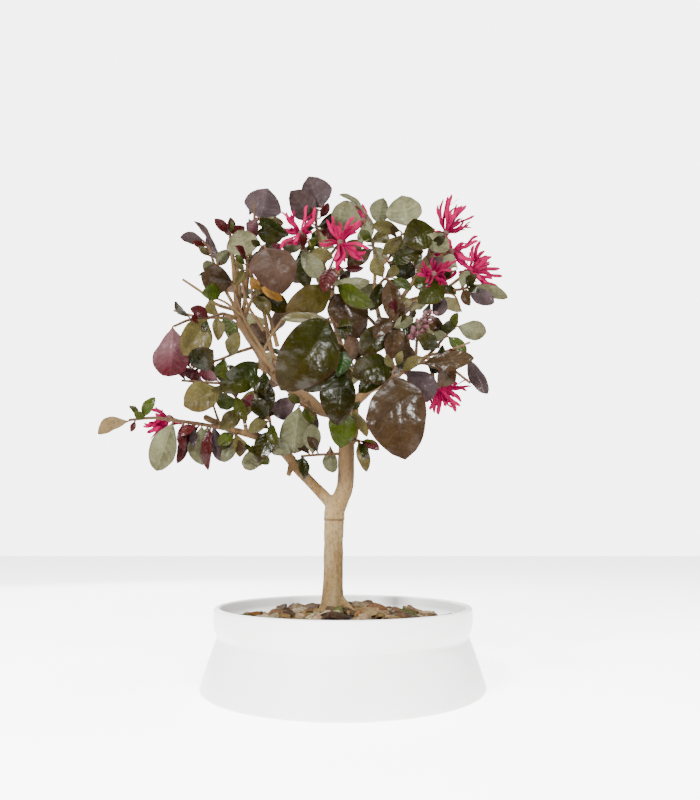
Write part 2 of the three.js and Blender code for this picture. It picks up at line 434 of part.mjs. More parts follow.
// A thin slab over rows of points; each row has its own lift to the upper and lower face. The first and
// last row may be a single point. Both faces are split alike.
function slab(rows, lifts) {
  const place = [];
  const index = [];
  const starts = [];
  rows.forEach((row, i) => {
    starts.push(place.length / 6);
    row.forEach((point) => {
      const upper = point.clone().add(lifts[i]);
      const lower = point.clone().sub(lifts[i]);
      place.push(upper.x, upper.y, upper.z, lower.x, lower.y, lower.z);
    });
  });
  const upper = (i, j) => 2 * (starts[i] + Math.min(j, rows[i].length - 1));
  const lower = (i, j) => upper(i, j) + 1;
  const face = (a, b, c) => {
    if (a !== b && b !== c && a !== c) index.push(a, b, c);
  };
  const across = rows[1].length - 1;
  for (let i = 0; i < rows.length - 1; i++) {
    for (let j = 0; j < across; j++) {
      face(upper(i, j), upper(i + 1, j), upper(i, j + 1));
      face(upper(i, j + 1), upper(i + 1, j), upper(i + 1, j + 1));
      face(lower(i, j), lower(i, j + 1), lower(i + 1, j));
      face(lower(i, j + 1), lower(i + 1, j + 1), lower(i + 1, j));
    }
    face(upper(i, 0), lower(i, 0), upper(i + 1, 0));
    face(lower(i, 0), lower(i + 1, 0), upper(i + 1, 0));
    face(upper(i, across), upper(i + 1, across), lower(i, across));
    face(lower(i, across), upper(i + 1, across), lower(i + 1, across));
  }
  const end = rows.length - 1;
  for (let j = 0; j < across; j++) {
    if (rows[0].length > 1) {
      face(upper(0, j), upper(0, j + 1), lower(0, j));
      face(lower(0, j), upper(0, j + 1), lower(0, j + 1));
    }
    if (rows[end].length > 1) {
      face(upper(end, j), lower(end, j), upper(end, j + 1));
      face(lower(end, j), lower(end, j + 1), upper(end, j + 1));
    }
  }
  const geometry = new THREE.BufferGeometry();
  geometry.setAttribute("position", new THREE.Float32BufferAttribute(place, 3));
  geometry.setIndex(index);
  return solidOf(geometry);
}

// The turns, in degrees, that a blade may take about its base to lie clear of the others: swing in its own
// plane, tilt of the midrib, roll about the midrib.
const turns = [[0, 0, 0]];
for (const reach of [9, 18, 28, 40])
  for (const [swing, tilt, roll] of [[0, 1, 0], [0, -1, 0], [1, 0, 0], [-1, 0, 0], [0, 0, 1], [0, 0, -1],
    [0.7, 0.8, 0], [-0.7, 0.8, 0], [0.7, -0.8, 0], [-0.7, -0.8, 0]])
    turns.push([swing * reach, tilt * reach, roll * reach]);

// The frame of a blade: along its chord, out of its upper face and across, after a turn.
function bladeFrame(base, tip, facing, rollDegrees, turn) {
  const along = tip.clone().sub(base);
  const length = along.length();
  along.normalize();
  const up = facing.clone().addScaledVector(along, -facing.dot(along)).normalize();
  up.applyAxisAngle(along, THREE.MathUtils.degToRad(rollDegrees));
  const side = along.clone().cross(up);
  const [swing, tilt, roll] = turn.map(THREE.MathUtils.degToRad);
  along.applyAxisAngle(up, swing);
  side.applyAxisAngle(up, swing);
  along.applyAxisAngle(side, tilt);
  up.applyAxisAngle(side, tilt);
  up.applyAxisAngle(along, roll);
  side.applyAxisAngle(along, roll);
  return { base, along, up, side, length };
}

// Half the width of a leaf at a share of its length, as a part of the full half-width.
function outline(share) {
  return Math.sin(Math.PI * share ** 1.12) ** 0.62;
}

// Blades longer than this are cut in more rows; the rows stand at these shares of the length.
const longLeaf = 31;
const shares = { large: [0.18, 0.55, 0.86], small: [0.34, 0.78] };

// A leaf: a blade folded along its midrib and arched, tapering to its root point in the stem. A narrow one
// is flat across, a long one has a petiole.
function leafSolid(frame, leaf, root, grow) {
  const { base, along, up, side, length } = frame;
  const fold = THREE.MathUtils.degToRad(leaf.fold);
  const margin = grow ? ghostMargin : 0;
  const large = length > longLeaf;
  const edges = leaf.width < flatWidth ? [-1, 1] : [-1, 0, 1];
  const row = (middle, reach) => edges.map((edge) =>
    middle.clone()
      .addScaledVector(side, edge * reach * Math.cos(fold))
      .addScaledVector(up, Math.abs(edge) * reach * Math.sin(fold)));
  const lift = (grow ? ghostThickness : bladeThickness) / 2;
  const rows = [];
  const lifts = [];
  if (root) {
    const reach = large ? 0 : shares.small[0] * length;
    const run = base.clone().addScaledVector(along, reach).sub(root).normalize();
    const rootSide = side.clone().addScaledVector(run, -side.dot(run)).normalize();
    rows.push([root]);
    lifts.push(rootSide.cross(run).multiplyScalar(lift));
    if (large) {
      rows.push(row(base, petioleHalfWidth + margin));
      lifts.push(lifts[0].clone().addScaledVector(up, lift).setLength(lift));
    }
  }
  for (const share of large ? shares.large : shares.small) {
    const middle = base.clone()
      .addScaledVector(along, length * share)
      .addScaledVector(up, leaf.bow * length * Math.sin(Math.PI * share));
    rows.push(row(middle, (leaf.width / 2 + margin) * outline(share)));
    lifts.push(up.clone().multiplyScalar(lift));
  }
  rows.push([base.clone().addScaledVector(along, length)]);
  lifts.push(up.clone().multiplyScalar(lift));
  return slab(rows, lifts);
}

// A strap petal from the middle of its head.
function petalSolid(frame, petal, grow) {
  const { base, along, up, side, length } = frame;
  const lift = up.clone().multiplyScalar((grow ? ghostThickness : petalThickness) / 2);
  const rows = [[petalRoot / length, 0.45], [0.6, 1], [1, 0.7]].map(([share, wide]) => {
    const half = (petal.width / 2 + (grow ? ghostMargin : 0)) * wide;
    const middle = base.clone()
      .addScaledVector(along, length * share)
      .addScaledVector(up, petal.bow * length * Math.sin(Math.PI * share));
    return [-1, 1].map((edge) => middle.clone().addScaledVector(side, edge * half));
  });
  return slab(rows, rows.map(() => lift));
}

// What is already in place. A new blade is tried turn by turn until it lies clear of the other nodes'
// solids and of the blades on its own shoot; where no turn is clear the blade is left off.
const taken = [];

function boxesMeet(a, b) {
  return [0, 1, 2].every((k) => a.min[k] <= b.max[k] && b.min[k] <= a.max[k]);
}

function take(owner, solid, kind) {
  taken.push({ owner, solid, kind, box: solid.boundingBox() });
}

function isClear(owner, ghost, meetsOwn) {
  const box = ghost.boundingBox();
  return !taken.some((other) =>
    (other.owner === owner ? meetsOwn : !meetsOwn) &&
    (!meetsOwn || other.kind === "blade") &&
    (meetsOwn || other.kind !== "blade") &&
    boxesMeet(box, other.box) &&
    ghost.intersect(other.solid).volume() > touching);
}

// Where a petiole is rooted in its shoot: the nearest point on the stem's middle line that isn't too close
// to either end of it, and from there a little further in.
function rootOf(spine, point) {
  const end = spine[spine.length - 1];
  const places = spine.slice(1).flatMap((next, i) =>
    Array.from({ length: rootSteps }, (_, k) => spine[i].clone().lerp(next, (k + 1) / rootSteps)));
  const free = places.filter((place) =>
    place.distanceTo(spine[0]) > footClearance && place.distanceTo(end) > endClearance);
  const nearest = free.reduce((best, place) =>
    (place.distanceTo(point) < best.distanceTo(point) ? place : best));
  return nearest.clone().addScaledVector(nearest.clone().sub(point).normalize(), rootSink);
}

function placeLeaf(owner, spine, leaf) {
  const root = rootOf(spine, leaf.base);
  for (const turn of turns) {
    const frame = bladeFrame(leaf.base, leaf.tip, leaf.facing, leaf.roll, turn);
    if (!isClear(owner, leafSolid(frame, leaf, root, true), false)) continue;
    const ghostBlade = leafSolid(frame, leaf, null, true);
    if (!isClear(owner, ghostBlade, true)) continue;
    const whole = leafSolid(frame, leaf, root, false);
    take(owner, whole, "whole");
    take(owner, leafSolid(frame, leaf, null, false), "blade");
    return whole;
  }
  return null;
}

// A leaf as read: its upper or lower face turned to the viewing point by its kind.
function readLeaf([bx, bz, bd, tx, tz, td, width, roll, kind], seed) {
  const base = seen([bx, bz, bd]);
  const tip = seen([tx, tz, td]);
  const facing = eye.clone().sub(base).normalize();
  if (!kinds[kind].upperSeen) facing.negate();
  return {
    base,
    tip,
    facing,
    width: width * shrink((bd + td) / 2),
    roll: draw(seed) < 0.5 ? roll : -roll,
    fold: mix(8, 20, draw(seed + 0.3)),
    bow: mix(0.03, 0.1, draw(seed + 0.6)),
  };
}

// Leaf number k of a shoot on the far side: set round the shoot, its upper face turned up and outwards.
function farLeaf(curve, k, seed) {
  const share = (k + 0.7) / farLeafCount;
  const place = curve.getPoint(Math.min(share, 1));
  const run = curve.getTangent(Math.min(share, 1));
  const across = run.clone().cross(new THREE.Vector3(0, 0, 1)).normalize();
  const over = across.clone().cross(run);
  const angle = goldenAngle * (k + seed);
  const spread = across.multiplyScalar(Math.cos(angle)).addScaledVector(over, Math.sin(angle));
  const heading = run.clone().multiplyScalar(0.55).addScaledVector(spread, 1).normalize();
  const base = place.clone().addScaledVector(heading, 4);
  const length = farLeafLength * mix(0.85, 1.2, draw(seed * 7 + k));
  return {
    base,
    tip: base.clone().addScaledVector(heading, length),
    facing: new THREE.Vector3(0, 0.5, 1).normalize(),
    width: length * mix(0.55, 0.68, draw(seed * 5 + k)),
    roll: mix(-25, 25, draw(seed * 3 + k)),
    fold: mix(8, 20, draw(seed + k * 0.3)),
    bow: mix(0.03, 0.1, draw(seed + k * 0.6)),
  };
}

// The shoot beyond its twig starts face to face with the twig's end, in line with it.
function shootPoints(twig, shoot) {
  const end = seen(twig[twig.length - 1]);
  const run = end.clone().sub(seen(twig[0])).normalize();
  const start = end.clone().addScaledVector(run, seatGap);
  return [start, start.clone().addScaledVector(run, 2), ...shoot.map(seen)];
}

function taperedRadii(count, from, to) {
  return Array.from({ length: count }, (_, i) => mix(from, to, i / (count - 1)));
}

// Pot: outside from the foot up over the lip, then down the inside.
function makePot() {
  const inner = (r) => r - wall;
  const flare = (share) => [mix(baseRadius, neckRadius, share ** 0.85), neckHeight * share];
  const profile = [
    [0, 0], [baseRadius - footRounding, 0], [baseRadius, footRounding],
    flare(0.33), flare(0.7), [neckRadius, neckHeight],
    [mix(neckRadius, lipRadius, 0.7), mix(neckHeight, lipFoot, 0.4)],
    [lipRadius, lipFoot], [lipRadius, potHeight - lipRounding], [lipRadius - lipRounding, potHeight],
    [inner(lipRadius) + lipRounding, potHeight], [inner(lipRadius), potHeight - lipRounding],
    [inner(lipRadius), innerStep], [inner(neckRadius), innerNeck], [inner(neckRadius), neckHeight],
    [inner(baseRadius), floorThickness + innerRounding], [inner(baseRadius) - innerRounding, floorThickness],
    [0, floorThickness],
  ];
  const drains = Array.from({ length: drainCount }, (_, i) => {
    const angle = Math.PI / 2 + (2 * Math.PI * i) / drainCount;
    const drain = new THREE.CylinderGeometry(drainRadius, drainRadius, 4 * floorThickness, drainSides);
    drain.rotateX(Math.PI / 2);
    drain.translate(drainRing * Math.cos(angle), drainRing * Math.sin(angle), 0);
    return solidOf(drain);
  });
  return drains.reduce((pot, drain) => pot.subtract(drain), lathe(profile, potSegments));
}

// Height of the mound of chips at a distance from the middle of the pot, within the neck.
const innerRadius = neckRadius - wall - seatGap;
function moundHeight(distance) {
  return mix(moundTop, moundEdge, Math.min(1, distance / innerRadius) ** 1.6);
}

const moundRings = [0, 0.5, 1];

function makeSoil(socket) {
  const rings = moundRings.map((share) => share * innerRadius);
  const top = rings.map((r) => [r, moundHeight(r) - layerThickness - seatGap]).reverse();
  const profile = [
    [0, floorThickness + seatGap], [baseRadius - wall - seatGap - innerRounding, floorThickness + seatGap],
    [baseRadius - wall - seatGap, floorThickness + seatGap + innerRounding],
    [neckRadius - wall - seatGap, neckHeight],
    ...top,
  ];
  return lathe(profile, potSegments).subtract(socket);
}

function makeChips(socket) {
  const rings = moundRings.map((share) => share * innerRadius);
  const under = rings.map((r) => [r, moundHeight(r) - layerThickness]);
  const over = rings.map((r) => [r, moundHeight(r)]).reverse();
  const layer = lathe([...under, ...over], potSegments);
  const chips = Array.from({ length: chipCount }, (_, i) => {
    const distance = chipRing * Math.sqrt((i + 0.5) / chipCount) * mix(0.93, 1, draw(i + 0.1));
    const angle = goldenAngle * i + mix(-0.2, 0.2, draw(i + 0.2));
    const chip = new THREE.CylinderGeometry(mix(0.45, 0.8, draw(i + 0.15)), 1, 2, chipSides);
    chip.rotateX(Math.PI / 2);
    chip.scale(mix(4.5, 8, draw(i + 0.3)), mix(3.6, 5.6, draw(i + 0.4)), mix(1.8, 3, draw(i + 0.5)));
    chip.rotateX(mix(-0.5, 0.5, draw(i + 0.6)));
    chip.rotateZ(2 * Math.PI * draw(i + 0.7));
    const height = moundHeight(distance) + mix(-0.6, 0.8, draw(i + 0.8));
    const place = new THREE.Vector3(distance * Math.cos(angle), distance * Math.sin(angle), height);
    chip.translate(place.x, place.y, place.z);
    return solidOf(chip);
  });
  const above = potHeight + 2 * layerThickness;
  const room = lathe([...under, [innerRadius, above], [0, above]], potSegments);
  return fuse([layer, ...chips]).intersect(room).subtract(socket);
}

function woodSolid(rows, sides, extra) {
  const points = rows.map((row) => seen(row));
  const radii = rows.map((row) => row[3] + extra);
  return stem(points, radii, sides, rows.length - 1);
}

// The root stub and flare, a little larger, as the hole they stand in.
function makeSocket() {
  const stub = woodSolid(wood.trunk, trunkSides, seatGap);
  const below = woodSolid([[-7, 21, 0, 7], [-7, 30, 0, 7.4]], trunkSides, seatGap);
  const roots = [wood.rootRight, wood.rootLeft, wood.rootBack].map((rows) => {
    const [last, before] = [rows[rows.length - 1], rows[rows.length - 2]];
    const beyond = last.map((value, k) => value + (value - before[k]) * (k < 3 ? 0.1 : 0));
    return woodSolid([...rows, beyond], limbSides, seatGap);
  });
  return fuse([stub, below, ...roots]);
}

const materials = {
  pot: new THREE.MeshStandardMaterial({ color: 0xebeae8, roughness: 0.42, metalness: 0 }),
  soil: new THREE.MeshStandardMaterial({ color: 0x3a2b1f, roughness: 1, metalness: 0 }),
  chips: new THREE.MeshStandardMaterial({ color: 0x94714d, roughness: 0.95, metalness: 0 }),
  bark: new THREE.MeshStandardMaterial({ color: 0xa08060, roughness: 0.85, metalness: 0 }),
  petal: new THREE.MeshStandardMaterial({ color: 0xd01f58, roughness: 0.6, metalness: 0 }),
  bud: new THREE.MeshStandardMaterial({ color: 0xb06a78, roughness: 0.7, metalness: 0 }),
};

const plant = new THREE.Group();

function addNode(name, solid, material) {
  const made = mainBody(solid.simplify(tidyTolerance)).getMesh();
  const geometry = new THREE.BufferGeometry();
  geometry.setAttribute("position", new THREE.BufferAttribute(made.vertProperties, 3));
  geometry.setIndex(new THREE.BufferAttribute(made.triVerts, 1));
  const mesh = new THREE.Mesh(geometry, material);
  mesh.name = name;
  plant.add(mesh);
}

const socket = makeSocket();
addNode("pot", makePot(), materials.pot);
addNode("soil", makeSoil(socket), materials.soil);
const chips = makeChips(socket);
addNode("bark_chips", chips, materials.chips);
take("bark_chips", chips, "whole");

// Trunk, limbs and every woody twig grew as one piece. Shoots and stalks start a seat's gap beyond a twig.
const everyShoot = [...shoots, ...farShoots];
const woodyTwigs = [...everyShoot, ...blooms].filter(({ onShoot }) => !onShoot);
const twigs = woodyTwigs.map(({ twig, radius = twigRadius }) => {
  const rows = twig.map((place, i) => [...place, i === 0 ? radius + 0.1 : radius]);
  return stem(rows.map(seen), rows.map((row) => row[3]), twigSides, 1);
});
twigs.push(stem(budTwig.map(seen), [twigRadius, budStalkRadius], twigSides, 1));
const limbs = Object.entries(wood).map(([part, rows]) => {
  const thick = part === "trunk" || part === "mainStem";
  const sides = thick ? trunkSides : rows[0][3] > thinLimb ? limbSides : twigSides;
  return woodSolid(rows, sides, 0);
});
for (const piece of [...limbs, ...twigs]) take("trunk", piece, "whole");
addNode("trunk", fuse([...limbs, ...twigs]), materials.bark);

// Shoots, flower stalks and the bud stalk come before any blade, so that blades are bent clear of them.
const shootCurves = everyShoot.map(({ name, twig, shoot, radius = twigRadius }) => {
  const points = shootPoints(twig, shoot);
  const steps = points.length - 1;
  const solid = stem(points, taperedRadii(points.length, radius, shootEndRadius), twigSides, steps);
  take(name, solid, "whole");
  const curve = new THREE.CatmullRomCurve3(points, false, "centripetal");
  return { solid, curve, spine: curve.getSpacedPoints(steps) };
});

const stalks = blooms.map(({ name, twig, head }) => {
  const points = shootPoints(twig, [head]);
  const stalk = stem(points, taperedRadii(points.length, twigRadius, shootEndRadius), twigSides, 3);
  const calyx = new THREE.SphereGeometry(calyxRadius, 5, 3);
  const middle = seen(head);
  calyx.translate(middle.x, middle.y, middle.z);
  const solid = stalk.add(solidOf(calyx));
  take(name, solid, "whole");
  return solid;
});

const budPoints = shootPoints(budTwig, budStalk);
const budStem = stem(budPoints, taperedRadii(budPoints.length, budStalkRadius, shootEndRadius), twigSides, 5);
take("bud_cluster", budStem, "whole");

// Buds stand round the stalk on short feet, smaller towards its end.
function makeBuds() {
  const curve = new THREE.CatmullRomCurve3(budPoints, false, "centripetal");
  const buds = Array.from({ length: budCount }, (_, i) => {
    const share = mix(0.38, 1, i / (budCount - 1));
    const place = curve.getPoint(share);
    const run = curve.getTangent(share);
    const across = run.clone().cross(new THREE.Vector3(0, 1, 0)).normalize();
    const over = across.clone().cross(run);
    const angle = goldenAngle * i;
    const out = across.multiplyScalar(Math.cos(angle)).addScaledVector(over, Math.sin(angle));
    out.addScaledVector(run, 0.5).normalize();
    const reach = mix(budReach[0], budReach[1], i / (budCount - 1));
    const middle = place.clone().addScaledVector(out, reach);
    const bud = new THREE.OctahedronGeometry(budRadius, 0);
    bud.scale(1, 1, 1.4);
    bud.applyQuaternion(new THREE.Quaternion().setFromUnitVectors(new THREE.Vector3(0, 0, 1), out));
    bud.translate(middle.x, middle.y, middle.z);
    return [solidOf(bud), stem([place, middle], [budFootRadius, budFootRadius], budFootSides, 1)];
  });
  return fuse([budStem, ...buds.flat()]);
}
const buds = makeBuds();
take("bud_cluster", buds, "whole");
addNode("bud_cluster", buds, materials.bud);

// Flower heads: the petals that were read first, then others to make up the number.
function petalTips({ head, tips, hangs }, seed) {
  const middle = seen(head);
  const read = tips.map(seen);
  const more = Array.from({ length: Math.max(0, petalCount - tips.length) }, (_, i) => {
    const angle = goldenAngle * (i + seed);
    const rise = mix(-0.2, 0.9, draw(seed + i * 0.7)) * (hangs ? -1 : 1);
    const out = new THREE.Vector3(Math.cos(angle) * 0.7, 0.5 + 0.5 * Math.abs(Math.sin(angle)), rise);
    return middle.clone().addScaledVector(out.normalize(), petalLength * mix(0.75, 1, draw(seed + i)));
  });
  return [...read, ...more];
}

blooms.forEach((bloom, number) => {
  const middle = seen(bloom.head);
  const parts = [stalks[number]];
  petalTips(bloom, number + 1).forEach((tip, i) => {
    const seed = 10 * number + i;
    const facing = eye.clone().sub(middle).normalize();
    const petal = { width: petalWidth, bow: mix(-0.12, 0.14, draw(seed)) };
    for (const turn of turns) {
      const frame = bladeFrame(middle, tip, facing, mix(-60, 60, draw(seed + 0.5)), turn);
      if (!isClear(bloom.name, petalSolid(frame, petal, true), false)) continue;
      const solid = petalSolid(frame, petal, false);
      take(bloom.name, solid, "whole");
      parts.push(solid);
      return;
    }
  });
  addNode(bloom.name, fuse(parts), materials.petal);
});

// Leafy shoots, those towards the viewing point first.
everyShoot.forEach((shoot, number) => {
  const { solid, spine, curve } = shootCurves[number];
  const leaves = shoot.leaves
    ? shoot.leaves.map((row, i) => readLeaf(row, number + i * 0.37))
    : Array.from({ length: farLeafCount }, (_, k) => farLeaf(curve, k, number));
  const placed = leaves.map((leaf) => placeLeaf(shoot.name, spine, leaf)).filter(Boolean);
  const { colour } = kinds[shoot.leaves ? shoot.leaves[0][8] : "dark"];
  const material = new THREE.MeshStandardMaterial({ color: colour, roughness: 0.5, metalness: 0 });
  addNode(shoot.name, fuse([solid, ...placed]), material);
});

export default plant;
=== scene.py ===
import math
import bpy
import numpy as np
from mathutils import Euler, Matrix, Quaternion, Vector
from mathutils.kdtree import KDTree


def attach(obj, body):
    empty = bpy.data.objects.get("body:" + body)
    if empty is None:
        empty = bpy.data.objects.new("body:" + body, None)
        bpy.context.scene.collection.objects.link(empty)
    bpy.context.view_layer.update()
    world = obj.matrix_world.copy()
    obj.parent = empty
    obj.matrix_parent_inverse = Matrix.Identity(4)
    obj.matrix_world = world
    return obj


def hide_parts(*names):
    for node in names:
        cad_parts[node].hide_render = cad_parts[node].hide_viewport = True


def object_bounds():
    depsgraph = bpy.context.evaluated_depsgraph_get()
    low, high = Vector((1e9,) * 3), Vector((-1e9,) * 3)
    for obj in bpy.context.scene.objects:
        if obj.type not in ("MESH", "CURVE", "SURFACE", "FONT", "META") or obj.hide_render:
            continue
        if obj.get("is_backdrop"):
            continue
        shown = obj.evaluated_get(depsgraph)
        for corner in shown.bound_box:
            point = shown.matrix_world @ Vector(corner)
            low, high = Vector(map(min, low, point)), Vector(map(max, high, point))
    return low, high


# Loropetalum bonsai in a white pot. The tables give the plant in millimetres, as in the part's source:
# places as they look from the eye, on the plane y = 0, and their depth behind (+) or before (-) that plane.
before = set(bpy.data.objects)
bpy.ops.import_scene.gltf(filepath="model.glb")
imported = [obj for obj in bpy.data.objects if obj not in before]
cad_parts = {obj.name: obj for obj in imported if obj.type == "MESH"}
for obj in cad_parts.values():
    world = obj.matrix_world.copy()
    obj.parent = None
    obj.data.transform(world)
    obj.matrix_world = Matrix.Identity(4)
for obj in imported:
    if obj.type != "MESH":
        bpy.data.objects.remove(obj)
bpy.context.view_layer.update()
mm = 0.001
eye = Vector((4.2, -400, 83.6))
goldenAngle = math.pi * (3 - math.sqrt(5))
roundTurn = 6.28  # in radians, near enough
saturation = 1.15  # the render shows colours a little paler than they are set
studioShare = 0.23  # and in this bright studio a wanted colour is set this much darker
creaseAngle = 50  # degrees; sharper edges stay sharp


def draw(seed):  # the same draw every time, from 0 to 1
    value = math.sin(seed * 12.9898) * 43758.5453
    return value - math.floor(value)


def mix(a, b, share):
    return a + (b - a) * share


def drawn(low, high, seed):
    return mix(low, high, draw(seed))


def atDepth(depth):  # the true length of what looks 1 mm long on the plane
    return (depth - eye.y) / -eye.y


def seen(place):
    x, z, depth = place[:3]
    return (Vector((x, 0, z)) - eye) * atDepth(depth) + eye


def deselectAll():
    if bpy.context.object and bpy.context.object.mode != "OBJECT":
        bpy.ops.object.mode_set(mode="OBJECT")
    bpy.ops.object.select_all(action="DESELECT")


def pick(*things):  # only these are selected, and the last one is active
    deselectAll()
    for thing in things:
        thing.select_set(True)
    bpy.context.view_layer.objects.active = things[-1]


def editAll(thing):
    pick(thing)
    bpy.ops.object.mode_set(mode="EDIT")
    bpy.ops.mesh.select_all(action="SELECT")


def faceOutwards(thing):
    editAll(thing)
    bpy.ops.mesh.normals_make_consistent(inside=False)
    bpy.ops.object.mode_set(mode="OBJECT")


def primitive(add, name, **settings):
    deselectAll()
    add(**settings)
    made = bpy.context.object
    made.name = name
    return made


def joined(things, name):
    pick(*things)
    if len(things) > 1:
        bpy.ops.object.join()
    whole = bpy.context.object
    whole.name = name
    whole.data.name = name
    return whole


def modify(thing, kind, **settings):  # add a modifier and apply it
    modifier = thing.modifiers.new(kind.lower(), kind)
    for key, value in settings.items():
        setattr(modifier, key, value)
    pick(thing)
    bpy.ops.object.modifier_apply(modifier=modifier.name)


def copyOf(template):
    made = template.copy()
    made.data = template.data.copy()
    bpy.context.scene.collection.objects.link(made)
    return made


def coordsOf(thing, key="co"):
    flat = np.empty(len(thing.data.vertices) * 3)
    thing.data.vertices.foreach_get(key, flat)
    return flat.reshape(-1, 3)


def setCoords(thing, coords):
    thing.data.vertices.foreach_set("co", coords.ravel())
    thing.data.update()


def colourIn(thing, material, colours):  # the attribute "tint" holds one colour for all points, or one each
    attribute = thing.data.attributes.new("tint", "FLOAT_COLOR", "POINT")
    colours = np.broadcast_to(colours, (len(thing.data.vertices), 4))
    attribute.data.foreach_set("color", colours.astype(float).ravel())
    thing.data.materials.append(material)


def paint(red, green, blue):  # a colour from 0 to 255, as it looks in the bright studio light
    linear = []
    for value in (red / 255, green / 255, blue / 255):  # the usual curve from screen values to light
        linear.append(value / 12.92 if value < 0.04045 else ((value + 0.055) / 1.055) ** 2.4)
    grey = sum(linear) / 3
    return tuple(max(0.0, grey + (value - grey) * saturation) * studioShare for value in linear) + (1.0,)


def finishPiece(thing, slotName, *nodes):
    pick(thing)
    bpy.ops.object.shade_smooth_by_angle(angle=math.radians(creaseAngle))
    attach(thing, "root")
    if nodes:
        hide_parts(*nodes)


# Shader helpers

def newMaterial(name):
    material = bpy.data.materials.new(name)
    material.use_nodes = True
    tree = material.node_tree
    return material, tree, tree.nodes["Principled BSDF"]


def feed(tree, node, values):  # by input: the output of a node is linked, and anything else is set
    for key, value in values.items():
        if hasattr(value, "is_output"):
            tree.links.new(value, node.inputs[key])
        else:
            node.inputs[key].default_value = value


def maths(tree, operation, *values):
    made = tree.nodes.new("ShaderNodeMath")
    made.operation = operation
    feed(tree, made, dict(enumerate(values)))
    return made.outputs[0]


def times(tree, first, second):
    return maths(tree, "MULTIPLY", first, second)


def timesPlus(tree, value, factor, extra):
    return maths(tree, "MULTIPLY_ADD", value, factor, extra)


def distanceFrom(tree, value, place):
    return maths(tree, "ABSOLUTE", maths(tree, "SUBTRACT", value, place))


def ranged(tree, value, low, high, toLow=0.0, toHigh=1.0):
    made = tree.nodes.new("ShaderNodeMapRange")
    made.interpolation_type = "SMOOTHSTEP"
    feed(tree, made, {"Value": value, "From Min": low, "From Max": high, "To Min": toLow, "To Max": toHigh})
    return made.outputs["Result"]


def blended(tree, share, first, second, kind="MIX"):
    made = tree.nodes.new("ShaderNodeMix")
    made.data_type = "RGBA"
    made.blend_type = kind
    feed(tree, made, {"Factor": share, "A": first, "B": second})
    return made.outputs["Result"]


def noiseOf(tree, scale, detail=3.0, stretch=(1, 1, 1), roughness=0.5):
    place = tree.nodes.new("ShaderNodeTexCoord").outputs["Object"]
    mapping = tree.nodes.new("ShaderNodeMapping")
    feed(tree, mapping, {"Vector": place, "Scale": stretch})
    noise = tree.nodes.new("ShaderNodeTexNoise")
    feed(tree, noise, {"Vector": mapping.outputs["Vector"], "Scale": scale, "Detail": detail,
        "Roughness": roughness})
    return noise.outputs["Fac"]


def tintOf(tree):  # the attribute "tint": the colour of each point, and its alpha
    node = tree.nodes.new("ShaderNodeAttribute")
    node.attribute_name = "tint"
    return node.outputs["Color"], node.outputs["Alpha"]


def addBump(tree, shader, height, strength, distance, socket="Normal"):
    bump = tree.nodes.new("ShaderNodeBump")
    feed(tree, bump, {"Height": height, "Strength": strength, "Distance": distance})
    feed(tree, shader, {socket: bump.outputs["Normal"]})


# The plant, in words of place

